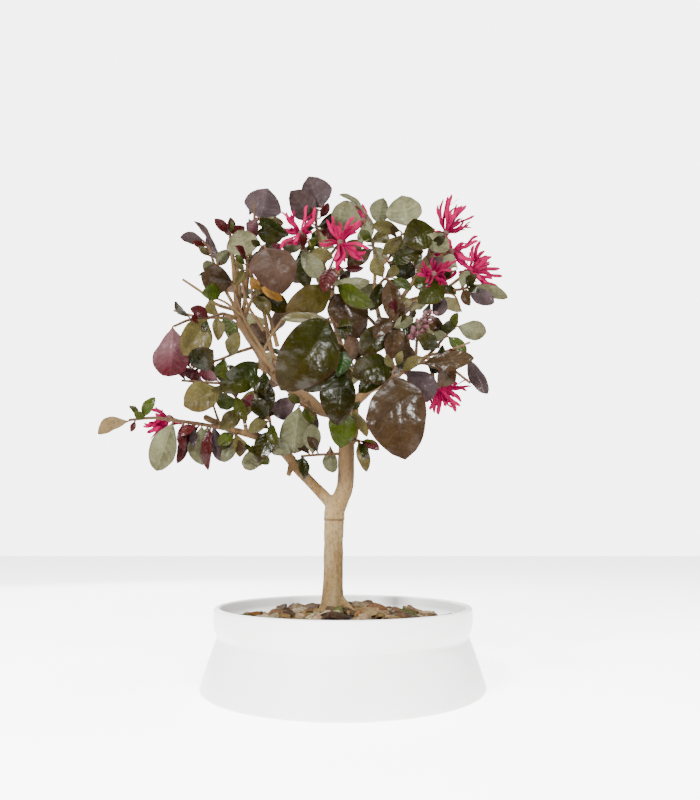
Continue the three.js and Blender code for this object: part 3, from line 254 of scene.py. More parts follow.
wood = {  # stems of the trunk: places with their depth and radius
    "trunk": [[-7, 22, 0, 7], [-7, 33, 0, 7.6], [-7, 44, 0, 7.6], [-6.8, 55, 0, 6.8], [-6.6, 68, 0, 6.4],
        [-6.5, 84, 0, 6.3], [-6.3, 98, 0, 6.9], [-5.8, 107, 0, 6.7], [-4.6, 114, 0, 5.8]],
    "rootRight": [[-4, 52, -1, 2.8], [0.5, 47, -2, 2.4], [5, 42.5, -3, 1.9], [9, 38, -4, 1.3]],
    "rootLeft": [[-9, 51, 1, 2.8], [-13, 44.5, 3, 2.4], [-17, 37, 5, 1.4]],
    "rootBack": [[-6, 51, 3, 3], [-5, 45, 8, 2.6], [-3, 37, 12, 1.4]],
    "mainStem": [[-5.2, 105, 0, 5.8], [-2.6, 111.5, -1, 6], [0.9, 121, -2, 5.7], [1.6, 140, -3, 5.6],
        [2.1, 160, -3, 5.5], [3.4, 171, -2, 5.3], [5, 179, 0, 4.3]],
    "thinStick": [[3, 146, -4, 1.4], [8, 153, -7, 1.2], [9, 177, -7, 1.1]],
    "lowArm": [[-6, 107, 0, 4.2], [-19, 120.5, -4, 3.6], [-30, 131.5, -7, 3.6], [-41, 144.5, -10, 3.5],
        [-52, 152, -12, 3], [-68, 157, -14, 2.4], [-80, 160, -15, 1.9]],
    "armKnob": [[-35, 137, -9, 2.4], [-37, 128, -12, 1.8]],
    "armStub": [[-75, 158, -14, 2.5], [-86, 163.5, -8, 2.5], [-95, 168, -2, 2.3]],
    "armBudTwig": [[-84, 161, -13, 1.2], [-88, 171, -6, 0.9], [-92, 182, -4, 0.7]],
    "leftLimb": [[3, 169, -1, 4.2], [-8, 171, 3, 4.2], [-17, 173.5, 3, 4.2], [-24, 180, 2, 4.5],
        [-36, 188, 0, 4], [-50, 199.5, -4, 3.4], [-62, 218, -7, 3.1], [-73, 235, -9, 2.9],
        [-78, 247, -9, 2.5]],
    "fanStout": [[-76, 243, -9, 2.2], [-78, 258, -9, 2.1], [-80, 275, -8, 1.9], [-83, 296, -7, 1.6]],
    "fanMiddle": [[-73, 238, -9, 1.9], [-71, 258, -5, 1.6], [-69.5, 280, -4, 1.4], [-68, 300, -5, 1.4]],
    "fanSide": [[-71, 256, -6, 1.4], [-74, 274, -1, 1.2], [-78, 292, 1, 1]],
    "bareLeft": [[-77, 246, -9, 1.3], [-92, 251, -4, 1.3], [-100, 258, -2, 1.2], [-117, 270, 0, 1]],
    "bareLower": [[-76, 240, -10, 1.3], [-100, 241, -4, 1.1], [-108, 242, -3, 1], [-122, 246, -2, 0.8]],
    "middleLimb": [[4, 174, 0, 3.8], [2, 190, 8, 3.2], [0, 204, 13, 2.8], [-4, 225, 16, 2.5],
        [-8, 248, 14, 2.2], [-12, 268, 10, 1.9], [-16, 286, 6, 1.6]],
    "rightLimb": [[5, 176, -1, 4], [18, 188, -5, 3.5], [37, 199, -8, 3.6], [44, 213, -5, 2.6],
        [43, 236, 0, 2.2], [42, 255, 2, 2], [50, 268, 2, 1.8], [56, 280, 1, 1.5]],
    "innerLimb": [[36, 197, -8, 2.4], [31, 214, -7, 2], [28, 228, -4, 1.9], [24, 246, 0, 1.7],
        [22, 263, 2, 1.5], [22.5, 280, 2, 1.3]],
    "innerSide": [[28, 228, -4, 1.5], [20, 238, 0, 1.4], [10, 248, 4, 1.2]],
    "fanInner": [[-46, 197, -3, 1.9], [-52, 220, 2, 1.7], [-57, 243, 3, 1.4], [-62, 264, 1, 1.1]],
    "fanThin": [[-75, 240, -7, 1.5], [-75.5, 262, 2, 1.3], [-78.5, 284, 5, 1.1], [-79, 302, 5, 0.9]],
    "farLimb": [[42, 252, 2, 1.7], [58, 257, 1, 1.6], [72, 261, -1, 1.4]],
    "thornLong": [[70, 260, -1, 1.1], [79, 258, -4, 0.9], [84, 245, -5, 0.6]],
    "lowerRight": [[38, 199, -8, 2.4], [50, 206, -19, 2], [59, 212, -24, 1.6]],
    "bareRight": [[57, 211, -23, 1.2], [73, 204, -18, 1], [88, 192, -16, 0.8]],
    "bareFork": [[58, 212, -24, 1.1], [74, 216, -30, 0.9], [89, 222, -32, 0.7]],
    "frontLimb": [[2, 192, 8, 2.4], [2, 206, -18, 1.9], [0, 214, -36, 1.6]],
}

shoots = {  # radius, twig, shoot, and leaves: base and tip with their depths, width, roll and kind
    "front_low": (1.5, [[2, 210, -30], [3, 208, -40]], [[2, 207, -48], [-2, 204, -54]], [
        [-3, 201, -56, -5, 163, -64, 26, 8, "dark"], [-1, 216, -50, -4, 198, -62, 13, 15, "bright"],
        [2, 208, -46, -28, 187, -42, 17, 12, "dark"]]),
    "front_big": (1.5, [[0, 213, -34], [-3, 224, -50]], [[-6, 232, -66], [-8, 238, -78]], [
        [-11, 240, -82, -43, 188, -95, 41, 6, "dark"], [-6, 236, -70, -46, 240, -74, 13, 50, "olive"]]),
    "front_bronze": (1.6, [[37, 199, -10], [36.5, 202, -34]], [[36, 203, -52], [35, 200, -70]], [
        [34, 198, -74, 41, 140, -88, 42, 6, "bronze"], [33, 206, -52, 6, 198, -62, 24, 10, "dark"],
        [36, 203, -48, 10, 186, -50, 15, 15, "dark"]]),
    "fan_mauve": (1.2, [[-69.5, 278, -4], [-64, 289, -11]], [[-61, 295, -18], [-59, 297, -24]], [
        [-58, 295, -27, -45, 260, -36, 34, 8, "plum"], [-60, 292, -14, -46, 299, -10, 11, 20, "pink"]]),
    "arm_end": (1.6, [[-79, 159.8, -14.9], [-86, 161, -15.5]],
        [[-100, 163.5, -17], [-118, 166, -19], [-130, 167.5, -20], [-147, 166, -21]], [
        [-148, 165, -21, -168, 157, -22, 12, 30, "dry"], [-117, 164, -20, -126, 131, -24, 19, 8, "pale"],
        [-110, 163, -19, -109, 146, -22, 7, 15, "maroon"],
        [-103, 162, -18, -102, 147, -21, 6, 20, "purple"], [-97, 161, -17, -94, 137, -23, 17, 10, "pale"],
        [-93, 161, -16, -99, 143, -12, 11, 25, "pale"], [-106, 163, -17, -110, 135, -13, 8, 20, "maroon"],
        [-91, 161, -16, -93, 132, -11, 8, 25, "maroon"], [-89, 161, -16, -84, 136, -18, 13, 15, "purple"],
        [-138, 168, -20, -131, 182, -24, 8, 20, "green"], [-136, 167, -20, -144, 172, -26, 6, 20, "green"],
        [-143, 165, -21, -145, 158, -23, 4, 10, "maroon"]]),
    "arm_olive": (1.3, [[-66, 156.5, -14], [-67.5, 163, -15]],
        [[-71, 174, -17], [-76, 184, -19], [-83, 188, -20]], [
        [-86, 188, -20, -110, 175, -24, 22, 12, "olive"], [-72, 173, -17, -84, 160, -24, 13, 15, "olive"],
        [-69, 167, -15, -62, 187, -21, 12, 20, "olive"], [-75, 182, -18, -67, 166, -27, 10, 25, "green"],
        [-73, 179, -17, -89, 180, -14, 13, 20, "green"], [-77, 186, -18, -79, 202, -14, 10, 30, "dark"]]),
    "arm_under": (1, [[-73, 158, -15], [-73.5, 153, -17]], [[-73.5, 149, -18]], [
        [-72, 155, -18, -70, 141, -24, 10, 15, "olive"], [-75, 153, -18, -79, 136, -15, 10, 25, "pale"],
        [-75, 156, -17, -85, 149, -21, 10, 20, "green"]]),
    "arm_middle": (1, [[-59, 154, -13], [-60, 149, -15]], [[-61, 146, -16]], [
        [-62, 147, -17, -63, 131, -22, 13, 10, "pale"], [-58, 147, -16, -52, 134, -14, 9, 20, "green"]]),
    "arm_inner": (1.2, [[-48, 150, -11], [-49, 156, -14]], [[-50, 162, -16], [-51, 168, -17]], [
        [-49, 159, -16, -58, 137, -23, 14, 12, "dark"], [-50, 163, -16, -43, 148, -22, 9, 25, "green"],
        [-52, 169, -17, -57, 196, -15, 15, 20, "dark"], [-53, 167, -18, -63, 181, -23, 13, 15, "dark"],
        [-52, 165, -18, -65, 158, -22, 10, 20, "olive"], [-47, 156, -14, -44, 136, -24, 13, 10, "pale"]]),
    "trunk_left": (1.1, [[1, 143, -3], [-8, 142.5, -9]], [[-18, 142, -12], [-29, 141, -14]], [
        [-28, 141, -14, -26, 126, -18, 8, 15, "dark"], [-9, 147, -8, -7, 131, -15, 11, 12, "pale"],
        [-21, 143, -12, -22, 163, -14, 13, 8, "pale"]]),
    "stem_front": (1.1, [[2, 167, -4], [1.5, 173, -13]], [[0, 176, -18]], [
        [-1, 175, -20, -2, 147, -24, 20, 6, "green"], [6, 173, -17, 16, 155, -22, 9, 30, "olive"]]),
    "stem_right": (1, [[2, 150, -3], [8, 151.5, -10]], [[10, 152, -13]], [
        [10, 150, -13, 15.5, 131, -17, 9, 12, "olive"]]),
    "limb_low": (1.2, [[-24, 181, 1], [-27, 178, -6]], [[-29, 176, -10]], [
        [-31, 175, -11, -41, 146, -18, 24, 8, "pale"], [-25, 175, -8, -18, 158, -6, 13, 20, "purple"],
        [-33, 179, -8, -51, 173, -4, 17, 25, "purple"]]),
    "left_low": (1.3, [[-50, 201, -4], [-58, 203, -12]],
        [[-70, 198, -18], [-85, 192.5, -22], [-100, 193, -24], [-113, 194, -26]], [
        [-60, 207, -15, -86, 187, -26, 21, 12, "dark"], [-56, 200, -16, -56, 184, -22, 9, 15, "dark"],
        [-62, 199, -15, -63, 182, -22, 8, 20, "dark"], [-88, 194, -22, -101, 201, -27, 9, 15, "pink"],
        [-111, 195, -25, -116, 207, -26, 6, 20, "maroon"], [-95, 194, -23, -104, 183, -20, 10, 30, "green"],
        [-99, 194, -24, -113, 202, -22, 9, 20, "pink"]]),
    "left_drop": (1.3, [[-75, 240, -9], [-85, 243, -18]],
        [[-98, 240, -25], [-110, 239, -29], [-121, 234, -31]], [
        [-98, 239, -26, -113, 213, -35, 23, 8, "olive"], [-122, 233, -31, -121, 196, -38, 27, 10, "pink"],
        [-97, 241, -26, -110, 248, -31, 9, 20, "maroon"], [-91, 240, -23, -89, 224, -30, 10, 15, "olive"],
        [-86, 241, -19, -78, 222, -26, 11, 20, "green"], [-90, 243, -20, -99, 252, -12, 10, 20, "olive"]]),
    "left_inner": (1.2, [[-62, 219, -7], [-74, 215, -16]], [[-88, 209, -22], [-104, 205, -26]], [
        [-107, 205, -26, -90, 215, -34, 19, 12, "dark"], [-108, 204, -26, -114, 215, -28, 6, 15, "maroon"],
        [-80, 212, -19, -72, 230, -26, 12, 20, "olive"], [-84, 210, -20, -80, 193, -14, 11, 20, "green"]]),
    "fan_left": (1.3, [[-77, 246, -9], [-86, 262, -8]],
        [[-92, 273, -8], [-96, 285, -9], [-99, 294, -9], [-104, 300, -10]], [
        [-81, 268, -11, -104, 272, -19, 22, 6, "bronze"],
        [-104, 301, -10, -121, 304, -12, 10, 20, "purple"], [-98, 294, -9, -111, 317, -12, 9, 60, "purple"],
        [-90, 283, -8, -101, 306, -2, 10, 45, "purple"], [-93, 281, -9, -84, 293, -4, 10, 15, "pale"],
        [-95, 283, -10, -103, 278, -14, 9, 25, "pale"], [-89, 262, -12, -98, 251, -17, 12, 20, "green"]]),
    "fan_top": (1.4, [[-82, 292, -7], [-84, 303, -7]], [[-84.5, 307, -7]], [
        [-84, 307, -8, -74, 312, -12, 9, 15, "maroon"], [-84, 306, -7, -91, 314, -4, 8, 20, "purple"]]),
    "fan_fold": (1.2, [[-71, 256, -6], [-71, 272, -14]], [[-71, 286, -18]], [
        [-71, 288, -19, -69, 310, -24, 26, 4, "pale"], [-70, 282, -17, -60, 290, -12, 10, 15, "dark"],
        [-73, 277, -18, -79, 266, -25, 8, 20, "olive"]]),
    "fan_high": (1.4, [[-68.3, 296, -5], [-67.5, 308, -5]], [[-67, 320, -5], [-68, 333, -5]], [
        [-63, 319, -6, -58, 344, -9, 30, 6, "purple"], [-65, 319, -7, -71, 304, -13, 12, 20, "pink"],
        [-64, 319, -5, -42, 305, -9, 13, 20, "dark"], [-65, 314, -4, -45, 316, 2, 10, 25, "olive"],
        [-65, 308, -4, -44, 300, -2, 13, 20, "dark"]]),
    "yellow": (1.1, [[-72, 242, -9], [-66, 255, -15]], [[-61, 262, -18]], [
        [-60, 264, -19, -45, 254, -26, 9, 20, "withered"], [-64, 257, -16, -54, 243, -22, 12, 20, "olive"],
        [-62, 258, -14, -40, 246, -4, 15, 20, "dark"], [-60, 262, -18, -68, 271, -23, 8, 15, "withered"]]),
    "top": (1.4, [[-16, 285, 6], [-19, 304, 4]], [[-21, 316, 2], [-20, 327, 1]], [
        [-17, 328, 0, -27, 354, -4, 26, 5, "purple"], [-22, 317, 1, -39, 341, -2, 22, 8, "purple"],
        [-18, 320, 0, -12, 332, -8, 7, 15, "maroon"], [-20, 312, 3, -6, 322, 10, 11, 30, "dark"],
        [-18, 309, 3, 0, 302, 4, 10, 15, "maroon"]]),
    "middle_left": (1.3, [[-13, 272, 9], [-24, 287, 4]], [[-30, 296, 1]], [
        [-31, 294, -1, -17, 271, -10, 15, 8, "pale"], [-32, 293, 1, -28, 264, 3, 13, 15, "dark"],
        [-26, 292, 1, -11, 290, -8, 11, 20, "olive"], [-30, 297, 2, -44, 302, 8, 12, 20, "pale"],
        [-26, 297, 1, -19, 313, 5, 11, 20, "dark"], [-23, 288, 3, -36, 261, 8, 17, 20, "bronze"]]),
    "middle_front": (1.3, [[-9, 253, 14], [-8, 262, 2]], [[-6, 268, -6], [-4, 275, -12]], [
        [-9, 279, -13, -15, 261, -19, 12, 5, "maroon"], [-10, 267, -8, 19, 268, -14, 10, 18, "pale"],
        [-9, 263, -4, -41, 246, -16, 23, 12, "moss"], [-5, 265, -7, 21, 249, -18, 15, 15, "green"],
        [-7, 259, 2, 12, 226, -6, 30, 12, "bronze"], [0, 279, -12, 14, 279, -16, 6, 20, "maroon"]]),
    "middle_top": (1.2, [[22.5, 277, 2], [22, 290, 2]], [[20, 302, 1], [15, 314, 0]], [
        [13, 317, -1, -10, 323, -6, 27, 10, "pale"], [17, 318, 0, 13, 299, -7, 11, 15, "pale"],
        [17, 321, 1, -3, 340, 2, 9, 62, "pale"], [25, 315, 0, 29, 336, -4, 16, 8, "pale"],
        [20, 300, 2, 33, 306, 9, 11, 20, "olive"], [20, 293, 3, 2, 281, 6, 13, 15, "bronze"],
        [20, 303, 2, 10, 333, 3, 12, 10, "pale"], [22, 296, 2, 31, 284, 6, 12, 20, "pale"]]),
    "right_high": (1.2, [[22.5, 276, 2], [31, 285, 1]], [[37, 296, 0], [43, 307, -1]], [
        [47, 313, -2, 43, 338, -7, 29, 6, "pale"], [41, 309, -1, 21, 314, -6, 11, 15, "olive"],
        [28, 290, -1, 43, 304, -10, 12, 20, "olive"], [34, 283, -4, 58, 293, -12, 14, 20, "dark"],
        [32, 284, 1, 52, 274, 6, 15, 15, "dark"]]),
    "right_dark": (1.2, [[55, 278, 1], [60, 287, -3]], [[63, 297, -7], [65, 306, -9]], [
        [66, 311, -10, 44, 299, -17, 24, 10, "dark"], [57, 304, -13, 75, 294, -20, 15, 10, "pale"],
        [64, 294, -6, 76, 301, -2, 10, 20, "purple"]]),
    "right_side": (1.2, [[58, 257, 1], [65, 263, -6]], [[72, 268, -9], [79, 277, -10]], [
        [72, 267, -10, 54, 252, -19, 18, 10, "green"], [70, 269, -8, 50, 266, -5, 14, 15, "green"],
        [82, 280, -10, 73, 288, -14, 11, 12, "pale"], [69, 262, -11, 68, 241, -17, 12, 10, "purple"],
        [76, 274, -9, 62, 286, -3, 12, 15, "purple"]]),
    "right_end": (1.1, [[71, 260.5, -1], [82, 262, -5]], [[90, 264, -7]], [
        [89, 261, -8, 108, 252, -12, 12, 10, "purple"], [85, 264, -7, 90, 277, -14, 9, 15, "pale"],
        [94, 266, -6, 119, 268, -4, 10, 20, "pale"], [86, 262, -7, 90, 250, -10, 8, 20, "bronze"]]),
    "hanging": (1.1, [[22, 262, 2], [27, 268, -5]], [[31, 271, -10]], [
        [32, 270, -11, 36, 238, -18, 15, 10, "bronze"], [36, 271, -10, 48, 262, -16, 9, 25, "green"],
        [28, 272, -9, 21, 287, -16, 12, 20, "olive"], [27, 267, -6, 19, 246, -8, 12, 15, "dark"]]),
    "lower_right": (1.2, [[59, 212, -24], [66, 220, -23]], [[73, 228, -22], [79, 233, -22]], [
        [81, 234, -22, 101, 229, -28, 15, 10, "pale"], [68, 229, -23, 80, 239, -28, 8, 15, "dark"],
        [63, 222, -25, 71, 230, -32, 8, 15, "pale"], [74, 226, -23, 86, 214, -26, 10, 25, "green"],
        [66, 219, -23, 52, 224, -18, 13, 15, "dark"], [66, 218, -24, 49, 214, -29, 12, 15, "dark"],
        [72, 229, -21, 62, 240, -14, 11, 20, "bronze"]]),
    "lower_long": (1.2, [[50, 206, -19], [55, 207, -32]], [[66, 208, -37], [80, 209, -36]], [
        [56, 206, -37, 91, 211, -48, 15, 20, "bronze"], [87, 210, -36, 99, 184, -38, 12, 20, "purple"],
        [77, 207, -36, 66, 190, -34, 15, 20, "bronze"]]),
    "lower_inner": (1.1, [[43, 202, -12], [42.5, 200, -28]], [[43, 199, -38]], [
        [44, 201, -40, 62, 181, -48, 22, 10, "purple"], [41, 201, -40, 55, 211, -50, 9, 20, "olive"],
        [44, 204, -32, 41, 222, -44, 14, 15, "bronze"]]),
    "right_mid": (1.1, [[43, 232, -1], [38, 236, -10]], [[36, 239, -16]], [
        [35, 233, -16, 45, 246, -24, 10, 15, "pale"], [34, 240, -16, 22, 228, -24, 13, 15, "bronze"],
        [40, 238, -13, 52, 228, -12, 11, 20, "dark"], [37, 244, -14, 47, 256, -6, 10, 20, "olive"],
        [37, 236, -12, 34, 210, -14, 15, 12, "bronze"], [36, 236, -12, 11, 215, -14, 20, 12, "dark"]]),
}

farShoots = {  # twig and shoot; their leaves grow by rule
    "back_top": ([[-8, 248, 14], [1, 255, 30]], [[8, 262, 44], [13, 269, 56]]),
    "back_left": ([[-49, 201, -3], [-50, 212, 18]], [[-52, 220, 34], [-56, 228, 48]]),
    "back_fan": ([[-72, 235, -8], [-69, 246, 12]], [[-66, 254, 26], [-62, 262, 40]]),
    "back_inner": ([[28, 229, -3], [34, 231, 16]], [[40, 234, 32], [46, 238, 46]]),
    "back_far": ([[60, 257, 1], [62, 253, 18]], [[64, 256, 34], [66, 261, 48]]),
    "back_low": ([[1, 200, 12], [4, 203, 30]], [[7, 205, 46], [10, 208, 60]]),
    "back_limb": ([[-35, 190, 1], [-36, 196, 20]], [[-38, 203, 36], [-40, 210, 50]]),
    "back_high": ([[-13, 272, 10], [-10, 280, 24]], [[-7, 288, 36], [-4, 296, 46]]),
    "back_corner": ([[50, 268, 2], [50, 275, 18]], [[50, 283, 32], [51, 291, 44]]),
}

blooms = [  # twig, head and petal tips
    {"name": "bloom_arm", "onShoot": True, "twig": [[-113, 165.3, -18.4], [-113, 165.4, -17.2]],
        "head": [-120, 167, -12], "hangs": True,
        "tips": [[-132, 174, -16], [-137, 161, -18], [-134, 157, -10], [-131, 152, -16], [-127, 152, -8]]},
    {"name": "bloom_centre_left", "twig": [[-15.5, 284, 6], [-27, 301, -2]], "head": [-32, 307, -6],
        "tips": [[-48, 325, -10], [-44, 321, -16], [-20, 327, -12], [-24, 318, -18], [-48, 294, -10],
            [-49, 310, -4], [-38, 298, -14]]},
    {"name": "bloom_centre", "twig": [[-15.5, 282, 6], [-7, 294, -1]], "head": [-3, 299, -5],
        "tips": [[-9, 321, -10], [-8, 316, -3], [6, 321, -8], [13, 316, -12], [16, 289, -14], [13, 286, -6],
            [-18, 298, -12], [-2, 274, -10], [-5, 278, -4]]},
    {"name": "bloom_right_top", "twig": [[56, 280, 1], [71, 302, 3]], "head": [75, 307, 2],
        "tips": [[75, 336, 0], [79, 339, -4], [85, 329, 4], [91, 331, -2], [97, 321, -6], [94, 313, 0],
            [83, 322, -8], [78, 292, -2]]},
    {"name": "bloom_right_middle", "twig": [[56, 279, 1], [73, 290, -2]], "head": [79, 292, -4],
        "tips": [[99, 304, -8], [94, 285, -6], [88, 300, -12], [92, 276, -2]]},
    {"name": "bloom_right_end", "twig": [[71, 260.5, -1], [85, 272, 1]], "head": [91, 276, 0],
        "tips": [[103, 292, 2], [100, 301, -4], [108, 288, -8], [113, 280, 0], [115, 273, -8],
            [110, 263, -4], [104, 267, -12], [107, 284, 6]]},
    {"name": "bloom_right_shade", "twig": [[57, 257, 1], [62, 262, 9]], "head": [67, 267, 12],
        "tips": [[66, 286, 8], [70, 284, 14], [82, 276, 8], [55, 277, 10], [58, 272, 18], [76, 280, 16]]},
    {"name": "bloom_low_right", "twig": [[59, 211.5, -24], [62, 197, -27]],
        "head": [65, 190, -28], "hangs": True,
        "tips": [[78, 196, -32], [88, 188, -30], [82, 180, -26], [75, 178, -34], [77, 172, -28],
            [66, 170, -30], [59, 173, -26]]},
]

# Curves and frames, the same as in the part's source

def curvePoint(points, t):  # centripetal Catmull-Rom through the points
    last = len(points) - 1
    i = min(int(t * last), last - 1)
    w = t * last - i
    before = points[i - 1] if i > 0 else points[0] * 2 - points[1]
    after = points[i + 2] if i + 2 <= last else points[last] * 2 - points[last - 1]
    gaps = [math.sqrt((b - a).length) for a, b in
        ((before, points[i]), (points[i], points[i + 1]), (points[i + 1], after))]
    middle = max(gaps[1], 1e-4)
    first = gaps[0] if gaps[0] > 1e-4 else middle
    final = gaps[2] if gaps[2] > 1e-4 else middle
    a, b = points[i], points[i + 1]
    runIn = ((a - before) / first - (b - before) / (first + middle) + (b - a) / middle) * middle
    runOut = ((b - a) / middle - (after - a) / (middle + final) + (after - b) / final) * middle
    return (a + runIn * w + (b * 3 - a * 3 - runIn * 2 - runOut) * w * w
        + (a * 2 - b * 2 + runIn + runOut) * w ** 3)


def curveTangent(points, t):
    return (curvePoint(points, min(t + 1e-4, 1)) - curvePoint(points, max(t - 1e-4, 0))).normalized()


def outward(run, reference, angle, lean):  # a direction out of a stem, leaning along it
    across = run.cross(reference).normalized()
    over = across.cross(run)
    return (run * lean + across * math.cos(angle) + over * math.sin(angle)).normalized()


def taper(low, high, count):
    return [mix(low, high, i / (count - 1)) for i in range(count)]


def turned(vector, axis, degrees):
    return Quaternion(axis, math.radians(degrees)) @ vector


def bladeFrame(base, tip, facing, roll, turn=(0, 0, 0)):
    along = (tip - base).normalized()
    up = turned((facing - along * facing.dot(along)).normalized(), along, roll)
    side = along.cross(up)
    swing, tilt, twist = turn
    along, side = turned(along, up, swing), turned(side, up, swing)
    along, up = turned(along, side, tilt), turned(up, side, tilt)
    up, side = turned(up, along, twist), turned(side, along, twist)
    return {"base": base, "along": along, "up": up, "side": side, "length": (tip - base).length}


def arraysOf(place):
    return [np.array(place[key]) for key in ("base", "along", "side", "up")]


turns = [(0, 0, 0)]  # the turns that the part's source tries for a blade, in degrees
for reach in (9, 18, 28, 40):
    for swing, tilt, roll in ((0, 1, 0), (0, -1, 0), (1, 0, 0), (-1, 0, 0), (0, 0, 1), (0, 0, -1),
            (0.7, 0.8, 0), (-0.7, 0.8, 0), (0.7, -0.8, 0), (-0.7, -0.8, 0)):
        turns.append((swing * reach, tilt * reach, roll * reach))


def shootPoints(twig, shoot):  # a shoot starts just beyond its twig's end, in line with it
    end = seen(twig[-1])
    run = (end - seen(twig[0])).normalized()
    start = end + run * 0.3
    return [start, start + run * 2] + [seen(place) for place in shoot]


def pointsOf(nodeName):  # the points of one of the part's nodes, for finding the nearest
    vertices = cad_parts[nodeName].data.vertices
    points = KDTree(len(vertices))
    for vertex in vertices:
        points.insert(vertex.co / mm, vertex.index)
    points.balance()
    return points


def bestTurn(points, cornersFor):  # the turn that the part's own blade was given, read off its corners
    misfits = []
    for turn in turns:
        corners = cornersFor(turn)
        misfits.append(sum(min(points.find(corner)[2], 4) for corner in corners) / len(corners))
    least = min(misfits)
    return turns[misfits.index(least)], least


def tubeOf(points, radii, sides, name, perSpan=5):  # a round stem along the curve through the points
    curve = bpy.data.curves.new(name, "CURVE")
    curve.dimensions = "3D"
    curve.bevel_depth = mm
    curve.bevel_resolution = max(0, sides // 4 - 1)
    curve.use_fill_caps = True
    spans = len(points) - 1
    count = spans * perSpan + 1
    spline = curve.splines.new("POLY")
    spline.points.add(count - 1)
    for i, point in enumerate(spline.points):
        t = i / (count - 1)
        before = min(int(t * spans), spans - 1)
        point.co = (*(curvePoint(points, t) * mm), 1)
        point.radius = mix(radii[before], radii[before + 1], t * spans - before)
    tube = bpy.data.objects.new(name, curve)
    bpy.context.scene.collection.objects.link(tube)
    pick(tube)
    bpy.ops.object.convert(target="MESH")
    return bpy.context.object


def sheetTemplate(name, across, along, petioleSteps):  # x from -1 to 1, y from 0 to 1, faces at z = ±0.5
    sheet = primitive(bpy.ops.mesh.primitive_grid_add, name, x_subdivisions=across, y_subdivisions=along,
        size=2)
    editAll(sheet)
    bpy.ops.transform.translate(value=(0, 1, 0))
    bpy.ops.transform.resize(value=(1, 0.5, 1), center_override=(0, 0, 0))
    if petioleSteps:  # the petiole is drawn out of the edge at y = 0, down to y = -1
        bpy.ops.mesh.select_all(action="DESELECT")
        bpy.ops.object.mode_set(mode="OBJECT")
        for edge in sheet.data.edges:
            edge.select = all(abs(sheet.data.vertices[i].co.y) < 1e-5 for i in edge.vertices)
        for vertex in sheet.data.vertices:
            vertex.select = abs(vertex.co.y) < 1e-5
        bpy.ops.object.mode_set(mode="EDIT")
        for step in range(petioleSteps):
            bpy.ops.mesh.extrude_region_move(TRANSFORM_OT_translate={"value": (0, -1 / petioleSteps, 0)})
    faceOutwards(sheet)
    if sum(polygon.normal.z for polygon in sheet.data.polygons) < 0:
        editAll(sheet)
        bpy.ops.mesh.flip_normals()
        bpy.ops.object.mode_set(mode="OBJECT")
    modify(sheet, "SOLIDIFY", thickness=1, offset=0)
    uv = sheet.data.uv_layers[0].data
    for loop in sheet.data.loops:
        place = sheet.data.vertices[loop.vertex_index].co
        uv[loop.index].uv = ((place.x + 1) / 2, place.y) if place.y > -1e-4 else (0.5, 0)
    return sheet


# Bark of the trunk and of the shoots

barkLook = {  # heights, places, fades and relief in metres
    "trunk": {"base": paint(212, 174, 118), "pale": paint(232, 202, 152), "fleck": paint(128, 92, 50),
        "limbs": paint(98, 63, 26), "fleckShare": 0.42},
    "shoot": {"base": paint(118, 84, 48), "pale": paint(148, 112, 70), "fleck": paint(66, 42, 24),
        "limbs": paint(112, 78, 42), "fleckShare": 0.7},
    "fibreScale": 650, "patchScale": 110, "spotScale": 1900, "relief": 0.0004, "sheen": 0.3,
    "limbHeights": (0.098, 0.135), "limbShare": 0.85,
    "bandHeight": 0.0765, "bandFade": (0.006, 0.02), "bandShare": 0.2,
    "ringHeight": 0.0985, "ringWobble": 0.003, "ringFade": (0.0003, 0.0012), "ringShare": 0.75,
    "trunkX": -0.0064, "trunkReach": 0.012,
}


